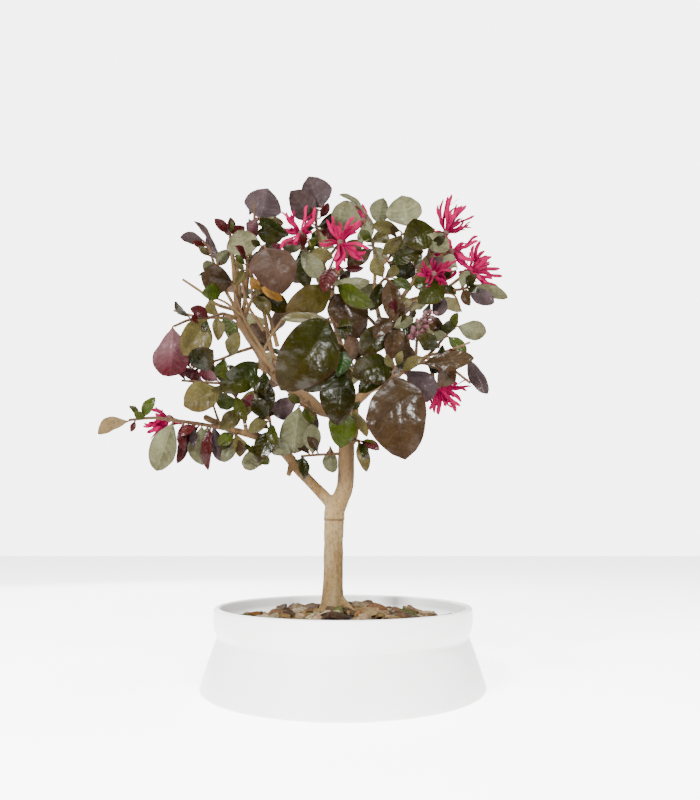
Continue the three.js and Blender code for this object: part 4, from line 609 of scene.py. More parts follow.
def makeBarkMaterial(name, look):
    material, tree, shader = newMaterial(name)
    fleck = look["fleck"]
    fibres = noiseOf(tree, barkLook["fibreScale"], 5.0, (1, 1, 0.5), 0.65)
    patches = noiseOf(tree, barkLook["patchScale"], 3.0, (1, 1, 0.35))
    spots = noiseOf(tree, barkLook["spotScale"], 2.0, (0.7, 0.7, 1.2))
    place = tree.nodes.new("ShaderNodeSeparateXYZ")
    feed(tree, place, {"Vector": tree.nodes.new("ShaderNodeTexCoord").outputs["Object"]})
    height = place.outputs["Z"]
    colour = blended(tree, ranged(tree, patches, 0.38, 0.66), look["base"], look["pale"])
    limbs = ranged(tree, height, *barkLook["limbHeights"], 0.0, barkLook["limbShare"])
    limbs = times(tree, limbs, ranged(tree, patches, 0.3, 0.6, 0.7, 1.0))  # they are browner than the trunk
    colour = blended(tree, limbs, colour, look["limbs"])
    rough = times(tree, limbs, ranged(tree, fibres, 0.5, 0.62, 0.0, 0.6))
    colour = blended(tree, rough, colour, fleck)
    offBand = distanceFrom(tree, height, barkLook["bandHeight"])
    band = ranged(tree, offBand, *barkLook["bandFade"], 1.0, 0.0)
    band = times(tree, band, ranged(tree, fibres, 0.4, 0.6))
    colour = blended(tree, times(tree, band, barkLook["bandShare"]), colour, look["limbs"])
    colour = blended(tree, ranged(tree, fibres, 0.47, 0.66, 0.0, look["fleckShare"]), colour, fleck)
    colour = blended(tree, ranged(tree, spots, 0.47, 0.64, 0.0, look["fleckShare"]), colour, fleck)
    wobble = barkLook["ringWobble"]
    ringPlace = timesPlus(tree, patches, wobble, barkLook["ringHeight"] - wobble / 2)
    ring = ranged(tree, distanceFrom(tree, height, ringPlace), *barkLook["ringFade"], 1.0, 0.0)
    offTrunk = distanceFrom(tree, place.outputs["X"], barkLook["trunkX"])
    ring = times(tree, ring, maths(tree, "LESS_THAN", offTrunk, barkLook["trunkReach"]))
    colour = blended(tree, times(tree, ring, barkLook["ringShare"]), colour, fleck)
    grain = maths(tree, "ADD", fibres, times(tree, spots, 0.7))
    addBump(tree, shader, timesPlus(tree, ring, -0.6, grain), 0.7, barkLook["relief"])
    feed(tree, shader, {"Base Color": colour, "Roughness": ranged(tree, fibres, 0.2, 0.8, 0.75, 0.95),
        "Specular IOR Level": barkLook["sheen"]})
    return material


barkMaterial = makeBarkMaterial("bark", barkLook["trunk"])
shootMaterial = makeBarkMaterial("shootBark", barkLook["shoot"])


def stemOf(points, radii, name):
    stem = tubeOf(points, radii, 8, name)
    colourIn(stem, shootMaterial, barkLook["shoot"]["base"])
    return stem


print("bark made")

# Leaves

leafLook = {  # sizes in millimetres or as a share of the leaf, and the relief in metres
    "bladeThickness": (0.5, 0.22), "thinTip": 0.4, "bulge": 0.07, "droop": 0.05, "droopFrom": 0.72,
    "waviness": 0.08, "waves": 2.2, "unevenEdge": 0.07, "edgeWaves": 6, "midribSway": 0.03,
    "foldRound": 0.02, "petioleRadius": 0.55, "petioleEnd": 0.07, "petioleBend": 0.5,
    "rootRoom": (1.5, 1), "rootDepth": 0.3,
    "veinPairs": 7.0, "relief": 0.0005, "sheen": 0.03, "wet": (0.02, 0.24), "wetRoughness": 0.22,
    "mottleScale": 380, "patchScale": 90, "speckScale": 1100, "wetScale": 130,
    "shadow": (0.5, 0.42, 0.36, 1), "speck": (0.25, 0.16, 0.12, 1), "paler": 1.55, "purpleMargin": 0.45,
    "petiole": paint(128, 92, 66), "warmBlush": paint(92, 54, 30), "margin": paint(84, 34, 44),
    "tipBlush": 0.35, "allBlush": 0.15, "tones": (0.65, 1.25), "lowerGloss": 0.3, "largeFrom": 31,
}
kinds = {  # upper face seen, its colour, colour of the lower face, gloss of the upper face
    "pale": (False, paint(60, 68, 30), paint(150, 152, 118), 0.8),
    "purple": (False, paint(50, 40, 34), paint(98, 84, 86), 0.8),
    "pink": (False, paint(96, 36, 38), paint(142, 104, 108), 0.7),
    "plum": (True, paint(78, 58, 46), paint(112, 82, 74), 0.1),
    "moss": (True, paint(84, 78, 36), paint(140, 136, 96), 0.6),
    "green": (True, paint(70, 84, 28), paint(142, 146, 108), 0.7),
    "bright": (True, paint(46, 80, 6), paint(120, 142, 76), 0.6),
    "dark": (True, paint(42, 52, 14), paint(122, 124, 94), 1.0),
    "olive": (True, paint(110, 104, 64), paint(146, 142, 100), 0.5),
    "bronze": (True, paint(76, 59, 37), paint(120, 98, 80), 0.6),
    "maroon": (True, paint(84, 22, 28), paint(120, 62, 66), 0.7),
    "withered": (True, paint(196, 146, 76), paint(188, 150, 96), 0.2),
    "dry": (True, paint(158, 136, 100), paint(136, 112, 84), 0.1),
}
tipTones = {"pink": paint(92, 26, 36)}  # kinds that darken a lot towards the tip
partBlade = {  # what the part's source gives its own leaves
    "thickness": 0.8, "fold": (8, 20), "bow": (0.03, 0.1), "farRadius": 1.2, "miss": 0.45,
    "largePlaces": (0.18, 0.55, 0.86), "smallPlaces": (0.34, 0.78),
}
farGrowth = {  # leaves of the far shoots, and the four numbers that keep their draws apart
    "count": 3, "lean": 0.55, "gap": 4, "length": (21.25, 30), "width": (0.55, 0.68), "roll": 25,
    "fold": partBlade["fold"], "bow": partBlade["bow"], "kinds": ("dark", "green", "olive", "bronze"),
    "apart": (7, 5, 3, 11),
}
youngGrowth = {  # small leaves that the part's own shoots leave out
    "count": 3, "lean": 0.6, "gap": 2.5, "length": (8, 14), "width": (0.5, 0.66), "roll": 55,
    "fold": (8, 24), "bow": (0.03, 0.12), "kinds": ("dark", "dark", "bronze", "green", "olive", "maroon"),
    "apart": (19, 23, 29, 31),
}
leafSheets = {  # large leaves have the finest sheet
    "large": sheetTemplate("largeSheet", 12, 18, 3),
    "small": sheetTemplate("smallSheet", 8, 12, 3),
    "young": sheetTemplate("youngSheet", 4, 8, 2),
}


def makeLeafMaterial():
    material, tree, shader = newMaterial("leafBlade")
    colour, gloss = tintOf(tree)
    parts = tree.nodes.new("ShaderNodeSeparateXYZ")
    feed(tree, parts, {"Vector": tree.nodes.new("ShaderNodeUVMap").outputs["UV"]})
    across = times(tree, distanceFrom(tree, parts.outputs["X"], 0.5), 2.0)
    midrib = ranged(tree, across, 0.015, 0.06, 1.0, 0.0)
    slant = times(tree, maths(tree, "POWER", across, 1.3), -1.5)
    slant = timesPlus(tree, parts.outputs["Y"], leafLook["veinPairs"], slant)
    offVein = distanceFrom(tree, maths(tree, "FRACT", slant), 0.5)
    lateral = times(tree, ranged(tree, offVein, 0.42, 0.49), ranged(tree, across, 0.6, 0.95, 1.0, 0.0))
    veins = maths(tree, "MAXIMUM", midrib, times(tree, lateral, 0.7))
    mottle = noiseOf(tree, leafLook["mottleScale"], 5.0, roughness=0.6)
    patches = noiseOf(tree, leafLook["patchScale"], 3.0)
    specks = noiseOf(tree, leafLook["speckScale"], 2.0)
    paler = tree.nodes.new("ShaderNodeHueSaturation")
    feed(tree, paler, {"Color": colour, "Value": leafLook["paler"], "Saturation": 0.85})
    paler = paler.outputs["Color"]
    shadow = ranged(tree, patches, 0.35, 0.7, 0.0, 0.7)
    shade = blended(tree, shadow, colour, leafLook["shadow"], "MULTIPLY")
    shade = blended(tree, ranged(tree, mottle, 0.42, 0.7, 0.0, 0.35), shade, paler)
    speck = ranged(tree, specks, 0.64, 0.74, 0.0, 0.5)
    shade = blended(tree, speck, shade, leafLook["speck"], "MULTIPLY")
    margin = times(tree, ranged(tree, across, 0.9, 1.0), leafLook["purpleMargin"])
    shade = blended(tree, margin, shade, leafLook["margin"])
    shown = times(tree, veins, timesPlus(tree, gloss, -0.2, 0.38))
    rough = timesPlus(tree, gloss, -0.42, 0.54)
    wet = ranged(tree, noiseOf(tree, leafLook["wetScale"], 2.0), 0.42, 0.6, *leafLook["wet"])
    feed(tree, shader, {"Base Color": blended(tree, shown, shade, paler),
        "Roughness": timesPlus(tree, mottle, 0.12, rough), "Specular IOR Level": leafLook["sheen"],
        "Coat Weight": times(tree, wet, gloss), "Coat Roughness": leafLook["wetRoughness"]})
    quilt = times(tree, ranged(tree, offVein, 0.1, 0.5), -0.3)
    grain = maths(tree, "ADD", timesPlus(tree, veins, -0.3, quilt), mottle)
    addBump(tree, shader, timesPlus(tree, patches, 2.6, grain), 0.8, leafLook["relief"])
    broad = timesPlus(tree, patches, 4.0, times(tree, quilt, 0.35))
    addBump(tree, shader, broad, 0.8, leafLook["relief"], "Coat Normal")
    return material


leafMaterial = makeLeafMaterial()


def partCorners(place, leaf):  # corners of the part's own faceted blade
    length = place["length"]
    lift = place["up"] * partBlade["thickness"] / 2
    fold = math.radians(leaf["fold"])
    corners = []
    for share in partBlade["largePlaces" if length > leafLook["largeFrom"] else "smallPlaces"]:
        middle = (place["base"] + place["along"] * length * share
            + place["up"] * leaf["bow"] * length * math.sin(math.pi * share))
        half = leaf["width"] / 2 * math.sin(math.pi * share ** 1.12) ** 0.62
        for edge in (-1, 1):
            corner = middle + place["side"] * edge * half * math.cos(fold)
            corner += place["up"] * half * math.sin(fold)
            corners += [corner + lift, corner - lift]
    tip = place["base"] + place["along"] * length
    return corners + [tip + lift, tip - lift]


def readLeaf(row, seed):
    bx, bz, bd, tx, tz, td, width, roll, kind = row
    base = seen((bx, bz, bd))
    facing = (eye - base).normalized()
    return {
        "base": base, "tip": seen((tx, tz, td)), "facing": facing if kinds[kind][0] else -facing,
        "width": width * atDepth((bd + td) / 2), "roll": roll if draw(seed) < 0.5 else -roll,
        "fold": drawn(*partBlade["fold"], seed + 0.3), "bow": drawn(*partBlade["bow"], seed + 0.6),
        "kind": kind}


def grownLeaf(place, heading, growth, k, seed, facing=None):  # without a facing it turns to the eye
    lengthDraw, widthDraw, rollDraw, kindDraw = (draw(seed * apart + k) for apart in growth["apart"])
    base = place + heading * growth["gap"]
    length = mix(*growth["length"], lengthDraw)
    if facing is None:
        facing = (eye - base).normalized()
    return {
        "base": base, "tip": base + heading * length, "facing": facing,
        "width": length * mix(*growth["width"], widthDraw), "roll": mix(-1, 1, rollDraw) * growth["roll"],
        "fold": drawn(*growth["fold"], seed + k * 0.3),
        "bow": drawn(*growth["bow"], seed + k * 0.6),
        "kind": growth["kinds"][int(len(growth["kinds"]) * kindDraw)]}


def farLeaf(points, k, seed):  # spirals round its shoot, as in the part's source
    share = min((k + 0.7) / farGrowth["count"], 1)
    up = Vector((0, 0, 1))
    heading = outward(curveTangent(points, share), up, goldenAngle * (k + seed), farGrowth["lean"])
    facing = Vector((0, 0.5, 1)).normalized()
    return grownLeaf(curvePoint(points, share), heading, farGrowth, k, seed, facing)


def youngLeaf(points, k, seed):  # on the upper two thirds of the shoot
    share = drawn(0.35, 0.95, seed * 13 + k * 2.7)
    place = curvePoint(points, share)
    angle = roundTurn * draw(seed * 17 + k * 1.3)
    heading = outward(curveTangent(points, share), eye - place, angle, youngGrowth["lean"])
    return grownLeaf(place, heading, youngGrowth, k, seed)


def rootOf(points, place):  # where the petiole ends: in the shoot, clear of the shoot's two ends
    steps = 60
    line = [curvePoint(points, i / steps) for i in range(steps + 1)]
    fromFoot, fromEnd = leafLook["rootRoom"]
    free = [p for p in line if (p - line[0]).length > fromFoot and (p - line[-1]).length > fromEnd]
    nearest = min(free, key=lambda p: (p - place).length)
    return nearest + (nearest - place).normalized() * leafLook["rootDepth"]


def bladePoints(leaf, place, sheet, seed):  # folded, bowed, waved, and drooping at the tip
    base, along, side, up = arraysOf(place)
    length = place["length"]
    u, v, z = sheet
    share = np.clip(v, 0, 1)
    away = np.abs(u)
    arch = np.sin(np.pi * share)
    outline = np.sin(np.pi * share ** 1.12) ** (0.8 - 0.24 * share)
    half = np.maximum(leaf["width"] / 2 * outline, leafLook["petioleRadius"] * 0.8)
    edge = np.sin(leafLook["edgeWaves"] * share + roundTurn * draw(seed + 0.6) + 1.4 * np.sign(u)) * arch
    half = half * (1 + leafLook["unevenEdge"] * edge)
    fold = math.radians(leaf["fold"])
    soft = leafLook["foldRound"]  # the fold is rounded at the midrib
    rise = (np.sqrt(u ** 2 + soft) - math.sqrt(soft)) / (math.sqrt(1 + soft) - math.sqrt(soft))
    wave = roundTurn * ((leafLook["waves"] + draw(seed + 0.2)) * share + draw(seed + 0.1)) + u
    ripple = leafLook["waviness"] * half * away ** 2 * np.sin(wave)
    bulge = leafLook["bulge"] * half * np.sin(np.pi * away)
    end = np.clip((share - leafLook["droopFrom"]) / (1 - leafLook["droopFrom"]), 0, 1)
    droop = -leafLook["droop"] * length * end ** 2
    sway = leafLook["midribSway"] * length * drawn(-1, 1, seed + 0.7) * arch
    across = u * half * math.cos(fold) + sway
    over = rise * half * math.sin(fold) + ripple + bulge + droop + leaf["bow"] * length * arch
    over += mix(*leafLook["bladeThickness"], away ** 2) * z * (1 - leafLook["thinTip"] * share)
    return base + np.outer(share * length, along) + np.outer(across, side) + np.outer(over, up)


def petiolePoints(place, sheet, root):  # a thin stalk that bends from the blade's base into the shoot
    base, along, side, up = arraysOf(place)
    u, v, z = sheet
    root = np.array(root)
    reach = np.linalg.norm(root - base)
    bend = base - along * leafLook["petioleBend"] * reach
    t = np.clip(-v, 0, 1)[:, None]
    middle = base * (1 - t) ** 2 + bend * 2 * t * (1 - t) + root * t ** 2
    run = (bend - base) * 2 * (1 - t) + (root - bend) * 2 * t
    run /= np.maximum(np.linalg.norm(run, axis=1), 1e-9)[:, None]
    sideways = side - run * (run @ side)[:, None]
    sideways /= np.maximum(np.linalg.norm(sideways, axis=1), 1e-9)[:, None]
    upwards = np.cross(run, sideways)
    upwards *= np.where(upwards @ up < 0, -1, 1)[:, None]
    radius = leafLook["petioleRadius"] * (1 + 0.25 * t)
    beyond = np.outer(np.clip(v, 0, 1) * place["length"], along)
    return (middle + beyond + sideways * radius * np.sin(u * np.pi / 2)[:, None]
        + upwards * radius * (2 * z * np.cos(u * np.pi / 2))[:, None])


def leafColours(kind, sheet, asStalk, seed):  # the two faces differ, and the alpha holds the gloss
    u, v, z = sheet
    share = np.clip(v, 0, 1)
    _, upper, lower, gloss = kinds[kind]
    colour = np.where(z[:, None] > 0, np.array(upper), np.array(lower))
    blush = leafLook["tipBlush"] * draw(seed + 0.4) * share ** 2 + leafLook["allBlush"] * draw(seed + 0.5)
    if kind in tipTones:
        blush = np.clip(1.7 * share - 0.35 + 0.25 * u, 0, 0.95)
    colour = mix(colour, np.array(tipTones.get(kind, leafLook["warmBlush"])), blush[:, None])
    colour[:, :3] *= drawn(*leafLook["tones"], seed + 0.8)
    colour = mix(colour, np.array(leafLook["petiole"]), asStalk)
    colour[:, 3] = np.where(z > 0, gloss, leafLook["lowerGloss"] * gloss)
    return np.clip(colour, 0, 1)


def leafOf(leaf, turn, root, seed, size):
    place = bladeFrame(leaf["base"], leaf["tip"], leaf["facing"], leaf["roll"], turn)
    sheet = coordsOf(leafSheets[size]).T
    asStalk = np.clip(1 - sheet[1] / leafLook["petioleEnd"], 0, 1)
    asStalk = (asStalk ** 2 * (3 - 2 * asStalk))[:, None]  # 1 on the petiole, 0 on the blade
    blade = bladePoints(leaf, place, sheet, seed)
    made = copyOf(leafSheets[size])
    setCoords(made, mix(blade, petiolePoints(place, sheet, root), asStalk) * mm)
    colourIn(made, leafMaterial, leafColours(leaf["kind"], sheet, asStalk, seed))
    return made


everyShoot = list(shoots.items())
everyShoot += [(key, (partBlade["farRadius"], *rows, None)) for key, rows in farShoots.items()]
twigs = []  # the twigs that carry shoots and flowers, which are made with the trunk
misfits = []
for number, (key, (radius, twig, shoot, rows)) in enumerate(everyShoot):
    name = "spray_" + key
    twigs.append((twig, radius))
    points = shootPoints(twig, shoot)
    partPoints = pointsOf(name)
    pieces = [stemOf(points, taper(radius, 0.9, len(points)), name + "Stem")]
    if rows:
        leaves = [readLeaf(row, number + i * 0.37) for i, row in enumerate(rows)]
    else:
        leaves = [farLeaf(points, k, number) for k in range(farGrowth["count"])]
    for i, leaf in enumerate(leaves):
        def cornersFor(turn):
            place = bladeFrame(leaf["base"], leaf["tip"], leaf["facing"], leaf["roll"], turn)
            return partCorners(place, leaf)
        turn, misfit = bestTurn(partPoints, cornersFor)
        if misfit > partBlade["miss"]:
            misfits.append((name, i, round(misfit, 2)))
        size = "large" if (leaf["tip"] - leaf["base"]).length > leafLook["largeFrom"] else "small"
        pieces.append(leafOf(leaf, turn, rootOf(points, leaf["base"]), number * 1.7 + i * 0.61, size))
    for k in range(youngGrowth["count"]):
        leaf = youngLeaf(points, k, number + 1)
        root = rootOf(points, leaf["base"])
        pieces.append(leafOf(leaf, (0, 0, 0), root, number * 2.3 + k * 0.47, "young"))
    finishPiece(joined(pieces, "leafy_" + key), "leaves", name)
print("leaves made; leaves that miss the part's own:", misfits)

# Flower heads

petalLook = {  # sizes in millimetres or as a share of the petal, twists in radians, the relief in metres
    # the second colour also gives the painted shade at a petal's foot, and the third the painted light at
    # its tip
    "pink": (0.158, 0.0, 0.025, 1), "deepAndShade": (0.060, 0.0, 0.007, 1), "light": (0.22, 0.003, 0.055, 1),
    "streakScale": 600, "patchScale": 150, "sheen": 0.05, "relief": 0.0003,
    "calyx": paint(150, 96, 88), "calyxRadius": 2.6, "calyxLumps": 0.16,
    "width": 2.8, "thickness": 0.25, "cup": 0.18, "wave": 0.06, "twist": 0.8, "curl": 0.4,
    "extraPetals": (0.1, 0.4, 0.7), "extraWidth": 2.4, "extraTwist": 0.9, "extraCurl": 0.7,
    "extraSpin": (-17, 17), "extraLean": (-20, 20), "extraRoll": (-50, 50),  # in degrees
    "extraLength": (0.6, 1.0), "leastPetals": 9, "hiddenLength": 19,
    "stalk": [1.2, 1.05, 0.9], "thinStalk": [0.9, 0.8, 0.8],
}
downLook = {"relief": 0.0006, "sheen": 0.3, "shadow": (0.22, 0.16, 0.12, 1)}  # buds, chips and soil
partPetal = {  # what the part's source gives its own petals
    "lift": 0.35, "half": 1.7, "places": ((0.6, 1), (1, 0.7)), "bow": (-0.12, 0.14), "roll": 60,
    "miss": 0.6,
}
petalSheet = sheetTemplate("petalSheet", 4, 12, 0)
calyx = primitive(bpy.ops.mesh.primitive_ico_sphere_add, "calyx", subdivisions=3,
    radius=petalLook["calyxRadius"] * mm)
x, y, z = coordsOf(calyx).T
lumps = 1 + petalLook["calyxLumps"] * np.sin(x * 2600) * np.sin(y * 2400 + 1) * np.sin(z * 2200)
setCoords(calyx, coordsOf(calyx) * lumps[:, None])
moreFlowers = [  # left out of the part: petal tips over a pale leaf, and a head before the shaded leaves, its colour darkened as painted shade
    {"name": "bloom_behind", "head": [14, 317, 3], "full": False,
        "tips": [[-2, 333, 12], [6, 331, 8], [9, 329, 10], [15, 331, 10], [11, 328, 6]]},
    {"name": "bloom_front", "head": [65, 274, -15], "from": [72, 268, -9], "light": 0.6,
        "tips": [[53, 273, -21], [57, 284, -20], [64, 288, -17], [71, 284, -20], [78, 278, -19],
            [82, 285, -16], [75, 266, -20], [60, 264, -19]]},
]


def makePetalMaterial():
    material, tree, shader = newMaterial("petal")
    streaks = noiseOf(tree, petalLook["streakScale"], 3.0)
    patches = noiseOf(tree, petalLook["patchScale"], 2.0)
    streak = ranged(tree, streaks, 0.45, 0.7, 0.0, 0.5)
    colour = blended(tree, streak, tintOf(tree)[0], petalLook["deepAndShade"])
    colour = blended(tree, ranged(tree, patches, 0.5, 0.75, 0.0, 0.35), colour, petalLook["light"])
    feed(tree, shader, {"Base Color": colour, "Roughness": ranged(tree, streaks, 0.2, 0.8, 0.5, 0.75),
        "Specular IOR Level": petalLook["sheen"]})
    addBump(tree, shader, streaks, 0.4, petalLook["relief"])
    return material


def makeDownMaterial(name, scale, strength, roughness):  # a grainy matt face in the colour of its tint
    material, tree, shader = newMaterial(name)
    grain = noiseOf(tree, scale, 5.0, roughness=0.65)
    dark = ranged(tree, grain, 0.35, 0.7, 0.0, 0.75)
    shade = blended(tree, dark, tintOf(tree)[0], downLook["shadow"], "MULTIPLY")
    rough = ranged(tree, grain, 0.2, 0.8, roughness - 0.1, roughness + 0.08)
    feed(tree, shader, {"Base Color": shade, "Roughness": rough, "Specular IOR Level": downLook["sheen"]})
    addBump(tree, shader, grain, strength, downLook["relief"])
    return material


petalMaterial = makePetalMaterial()
budMaterial = makeDownMaterial("budDown", 900, 0.4, 0.75)


def petalTips(bloom, seed):  # those in the table, and more behind up to the least number
    middle = seen(bloom["head"])
    tips = [seen(tip) for tip in bloom["tips"]]
    for i in range(max(0, petalLook["leastPetals"] - len(tips))):
        angle = goldenAngle * (i + seed)
        rise = drawn(-0.2, 0.9, seed + i * 0.7) * (-1 if bloom.get("hangs") else 1)
        out = Vector((math.cos(angle) * 0.7, 0.5 + 0.5 * abs(math.sin(angle)), rise)).normalized()
        tips.append(middle + out * petalLook["hiddenLength"] * drawn(0.75, 1, seed + i))
    return tips


def petalCorners(place, bow):  # corners of the part's own petal
    lift = place["up"] * partPetal["lift"]
    corners = []
    for share, wide in partPetal["places"]:
        middle = (place["base"] + place["along"] * place["length"] * share
            + place["up"] * bow * place["length"] * math.sin(math.pi * share))
        for half in (-partPetal["half"] * wide, partPetal["half"] * wide):
            corners += [middle + place["side"] * half + lift, middle + place["side"] * half - lift]
    return corners


def petalOf(place, bow, width, twist, curl, seed, light):  # a strap that narrows, twists and sways; light below 1 darkens its colour as painted shade
    base, along, side, up = arraysOf(place)
    length = place["length"]
    u, v, z = coordsOf(petalSheet).T
    wide = 0.35 + 0.65 * np.clip(v / 0.5, 0, 1) ** 0.8  # narrow foot, round end
    wide *= np.sqrt(np.clip(1 - (np.clip(v - 0.86, 0, 1) / 0.15) ** 2, 0.12, 1))
    half = width / 2 * wide
    angle = twist * (v - 0.3) + 0.25 * np.sin(5 * v + roundTurn * draw(seed))
    across = u * half
    cup = -petalLook["cup"] * half * u ** 2 + petalLook["thickness"] * z
    wave = petalLook["wave"] * length * v
    over = bow * length * np.sin(np.pi * v) + curl * length * np.clip(v - 0.6, 0, 1) ** 2
    over += wave * np.sin(8 * v + roundTurn * draw(seed + 0.6))
    over += across * np.sin(angle) + cup * np.cos(angle)
    aside = wave * np.sin(roundTurn * (v + draw(seed + 0.3))) + across * np.cos(angle) - cup * np.sin(angle)
    made = copyOf(petalSheet)
    setCoords(made, (base + np.outer(v * length, along) + np.outer(aside, side) + np.outer(over, up)) * mm)
    pink, deepAndShade, paintedTipLight = (np.array(petalLook[key]) for key in ("pink", "deepAndShade", "light"))
    # darker towards the foot is painted shade in the heart of the flower; paler towards the tip is painted
    # light
    colour = mix(pink, deepAndShade, drawn(0.0, 0.9, seed + 0.7) * (1 - v)[:, None])
    colour = mix(colour, paintedTipLight, 0.3 * draw(seed + 0.9) * v[:, None])
    # light below 1 is painted shade on the whole petal
    colourIn(made, petalMaterial, np.clip(colour * light, 0, 1))
    return made


def besidePetal(place, seed):  # a shorter one close beside it, turned a little
    other = dict(place)
    spin = drawn(*petalLook["extraSpin"], seed)
    lean = drawn(*petalLook["extraLean"], seed + 0.11)
    other["along"] = turned(turned(place["along"], place["side"], lean), place["up"], spin)
    up = turned(place["up"], other["along"], drawn(*petalLook["extraRoll"], seed + 0.22))
    other["up"] = (up - other["along"] * up.dot(other["along"])).normalized()
    other["side"] = other["along"].cross(other["up"])
    other["length"] = place["length"] * drawn(*petalLook["extraLength"], seed + 0.33)
    return other


def petalsAt(place, bow, seed, bloom):  # a petal, and in a full flower three more beside it
    # a light below 1 darkens the flower's colour as painted shade
    light = bloom.get("light", 1.0)
    twist = drawn(-1, 1, seed + 0.2) * petalLook["twist"]
    curl = drawn(-1, 1, seed + 0.4) * petalLook["curl"]
    petals = [petalOf(place, bow, petalLook["width"], twist, curl, seed, light)]
    for extra in petalLook["extraPetals"] if bloom.get("full", True) else ():
        twist = drawn(-1, 1, seed + extra + 0.05) * petalLook["extraTwist"]
        curl = drawn(-1, 1, seed + extra + 0.17) * petalLook["extraCurl"]
        other = besidePetal(place, seed + extra)
        petals.append(petalOf(other, -bow, petalLook["extraWidth"], twist, curl, seed + extra, light))
    return petals


def calyxAt(middle):
    made = copyOf(calyx)
    setCoords(made, coordsOf(calyx) + np.array(middle) * mm)
    colourIn(made, budMaterial, petalLook["calyx"])
    return made


petalMisfits = []
for number, bloom in enumerate(blooms + moreFlowers):
    name = bloom["name"]
    middle = seen(bloom["head"])
    facing = (eye - middle).normalized()
    pieces = [calyxAt(middle)]
    tips = [seen(tip) for tip in bloom["tips"]]
    inPart = bloom in blooms
    if inPart:
        partPoints = pointsOf(name)
        tips = petalTips(bloom, number + 1)
        points = shootPoints(bloom["twig"], [bloom["head"]])
        pieces.append(stemOf(points, petalLook["stalk"], name + "Stalk"))
        if not bloom.get("onShoot"):
            twigs.append((bloom["twig"], petalLook["stalk"][0]))
    elif "from" in bloom:
        start = seen(bloom["from"])
        points = [start, start.lerp(middle, 0.5), middle]
        pieces.append(stemOf(points, petalLook["thinStalk"], name + "Stalk"))
    for i, tip in enumerate(tips):
        seed = 10 * number + i
        bow = drawn(*partPetal["bow"], seed)
        roll = drawn(-1, 1, seed + 0.5) * partPetal["roll"]
        turn = (0, 0, 0)

        def cornersFor(turn):
            return petalCorners(bladeFrame(middle, tip, facing, roll, turn), bow)
        if inPart:
            turn, misfit = bestTurn(partPoints, cornersFor)
            if misfit > partPetal["miss"]:
                petalMisfits.append((name, i, round(misfit, 2)))
        pieces += petalsAt(bladeFrame(middle, tip, facing, roll, turn), bow, seed, bloom)
    head = joined(pieces, name.replace("bloom_", "flower_"))
    finishPiece(head, "petals", *([name] if inPart else []))
print("flowers made; petals that miss the part's own:", petalMisfits)

# Buds

budLook = {  # the first of two numbers is at the foot of the bunch, the other at its end
    "count": 26, "radius": (1.9, 1.3), "reach": (5.5, 3.0), "stemRadius": (1.1, 0.8), "from": 0.36,
    "pointed": 0.45, "ribs": 0.08, "long": 1.55, "lean": 0.6, "footRadius": [0.45, 0.5],
    "rose": paint(150, 76, 94), "green": paint(140, 118, 100), "foot": paint(120, 100, 80),
}
budTwig = [(50, 206, -20), (51, 218, -25)]
budStalk = [(52, 226, -27), (56, 236, -29), (62, 244, -30)]
bud = primitive(bpy.ops.mesh.primitive_uv_sphere_add, "bud", segments=8, ring_count=6, radius=1)
x, y, z = coordsOf(bud).T
narrow = 1 - budLook["pointed"] * np.clip(z, 0, 1) ** 2
narrow = narrow * (1 + budLook["ribs"] * np.sin(5 * np.arctan2(y, x)))
setCoords(bud, np.column_stack([x * narrow, y * narrow, z * budLook["long"]]))


def budOf(middle, out, radius, seed):
    made = copyOf(bud)
    turn = np.array(Vector((0, 0, 1)).rotation_difference(out).to_matrix())
    setCoords(made, (coordsOf(bud) * radius @ turn.T + np.array(middle)) * mm)
    share = 0.6 * draw(seed)
    colourIn(made, budMaterial, mix(np.array(budLook["rose"]), np.array(budLook["green"]), share))
    return made


budPoints = shootPoints(budTwig, budStalk)
twigs.append((budTwig, 1.1))
pieces = [stemOf(budPoints, taper(*budLook["stemRadius"], 5), "budStem")]
for i in range(budLook["count"]):
    t = i / (budLook["count"] - 1)
    share = mix(budLook["from"], 1, t)
    place = curvePoint(budPoints, share)
    out = outward(curveTangent(budPoints, share), Vector((0, 1, 0)), goldenAngle * i, budLook["lean"])
    middle = place + out * (mix(*budLook["reach"], t) * drawn(0.8, 1.1, i + 0.2))
    pieces.append(budOf(middle, out, mix(*budLook["radius"], t), i))
    foot = tubeOf([place, middle], budLook["footRadius"], 4, "budFoot", 1)
    colourIn(foot, budMaterial, budLook["foot"])
    pieces.append(foot)
finishPiece(joined(pieces, "budBunch"), "buds", "bud_cluster")
print("buds made")

# Trunk and limbs

fineTwigs = [  # bare stems beside the left limb, each with its radius at both ends
    ([[-49, 201, -8], [-63, 219, -12], [-74, 233, -11], [-85, 241, -8]], 1.7, 1.0),
    ([[-47, 219, -4], [-53, 240, -6], [-61, 259, -8], [-71, 283, -8], [-74, 293, -9]], 1.6, 0.8),
    ([[-57, 215, -9], [-51, 228, -13], [-43, 241, -14]], 1.1, 0.6),
    ([[-66, 254, -7], [-68, 274, -11], [-72, 310, -10]], 1.1, 0.7),
    ([[-57, 231, -9], [-69, 250, -12], [-74, 268, -13]], 1.3, 0.7),
    ([[-53, 209, -9], [-70, 237, -12], [-80, 262, -12]], 1.4, 0.8),
    ([[-71, 240, -12], [-85, 252, -14], [-96, 257, -13]], 1.0, 0.7),
]
trunkLook = {  # sizes in millimetres
    "stoutFrom": 1.9, "stoutSides": 16, "thinSides": 8, "voxel": 0.8, "smoothing": 4,
    "lumps": (0.12, 0.06, 0.04),
    "ringRidge": 0.35, "ridgeAbove": 0.9, "ridgeWidth": 0.9, "ringGroove": 0.4, "grooveWidth": 0.5,
}
stout = []
thin = []
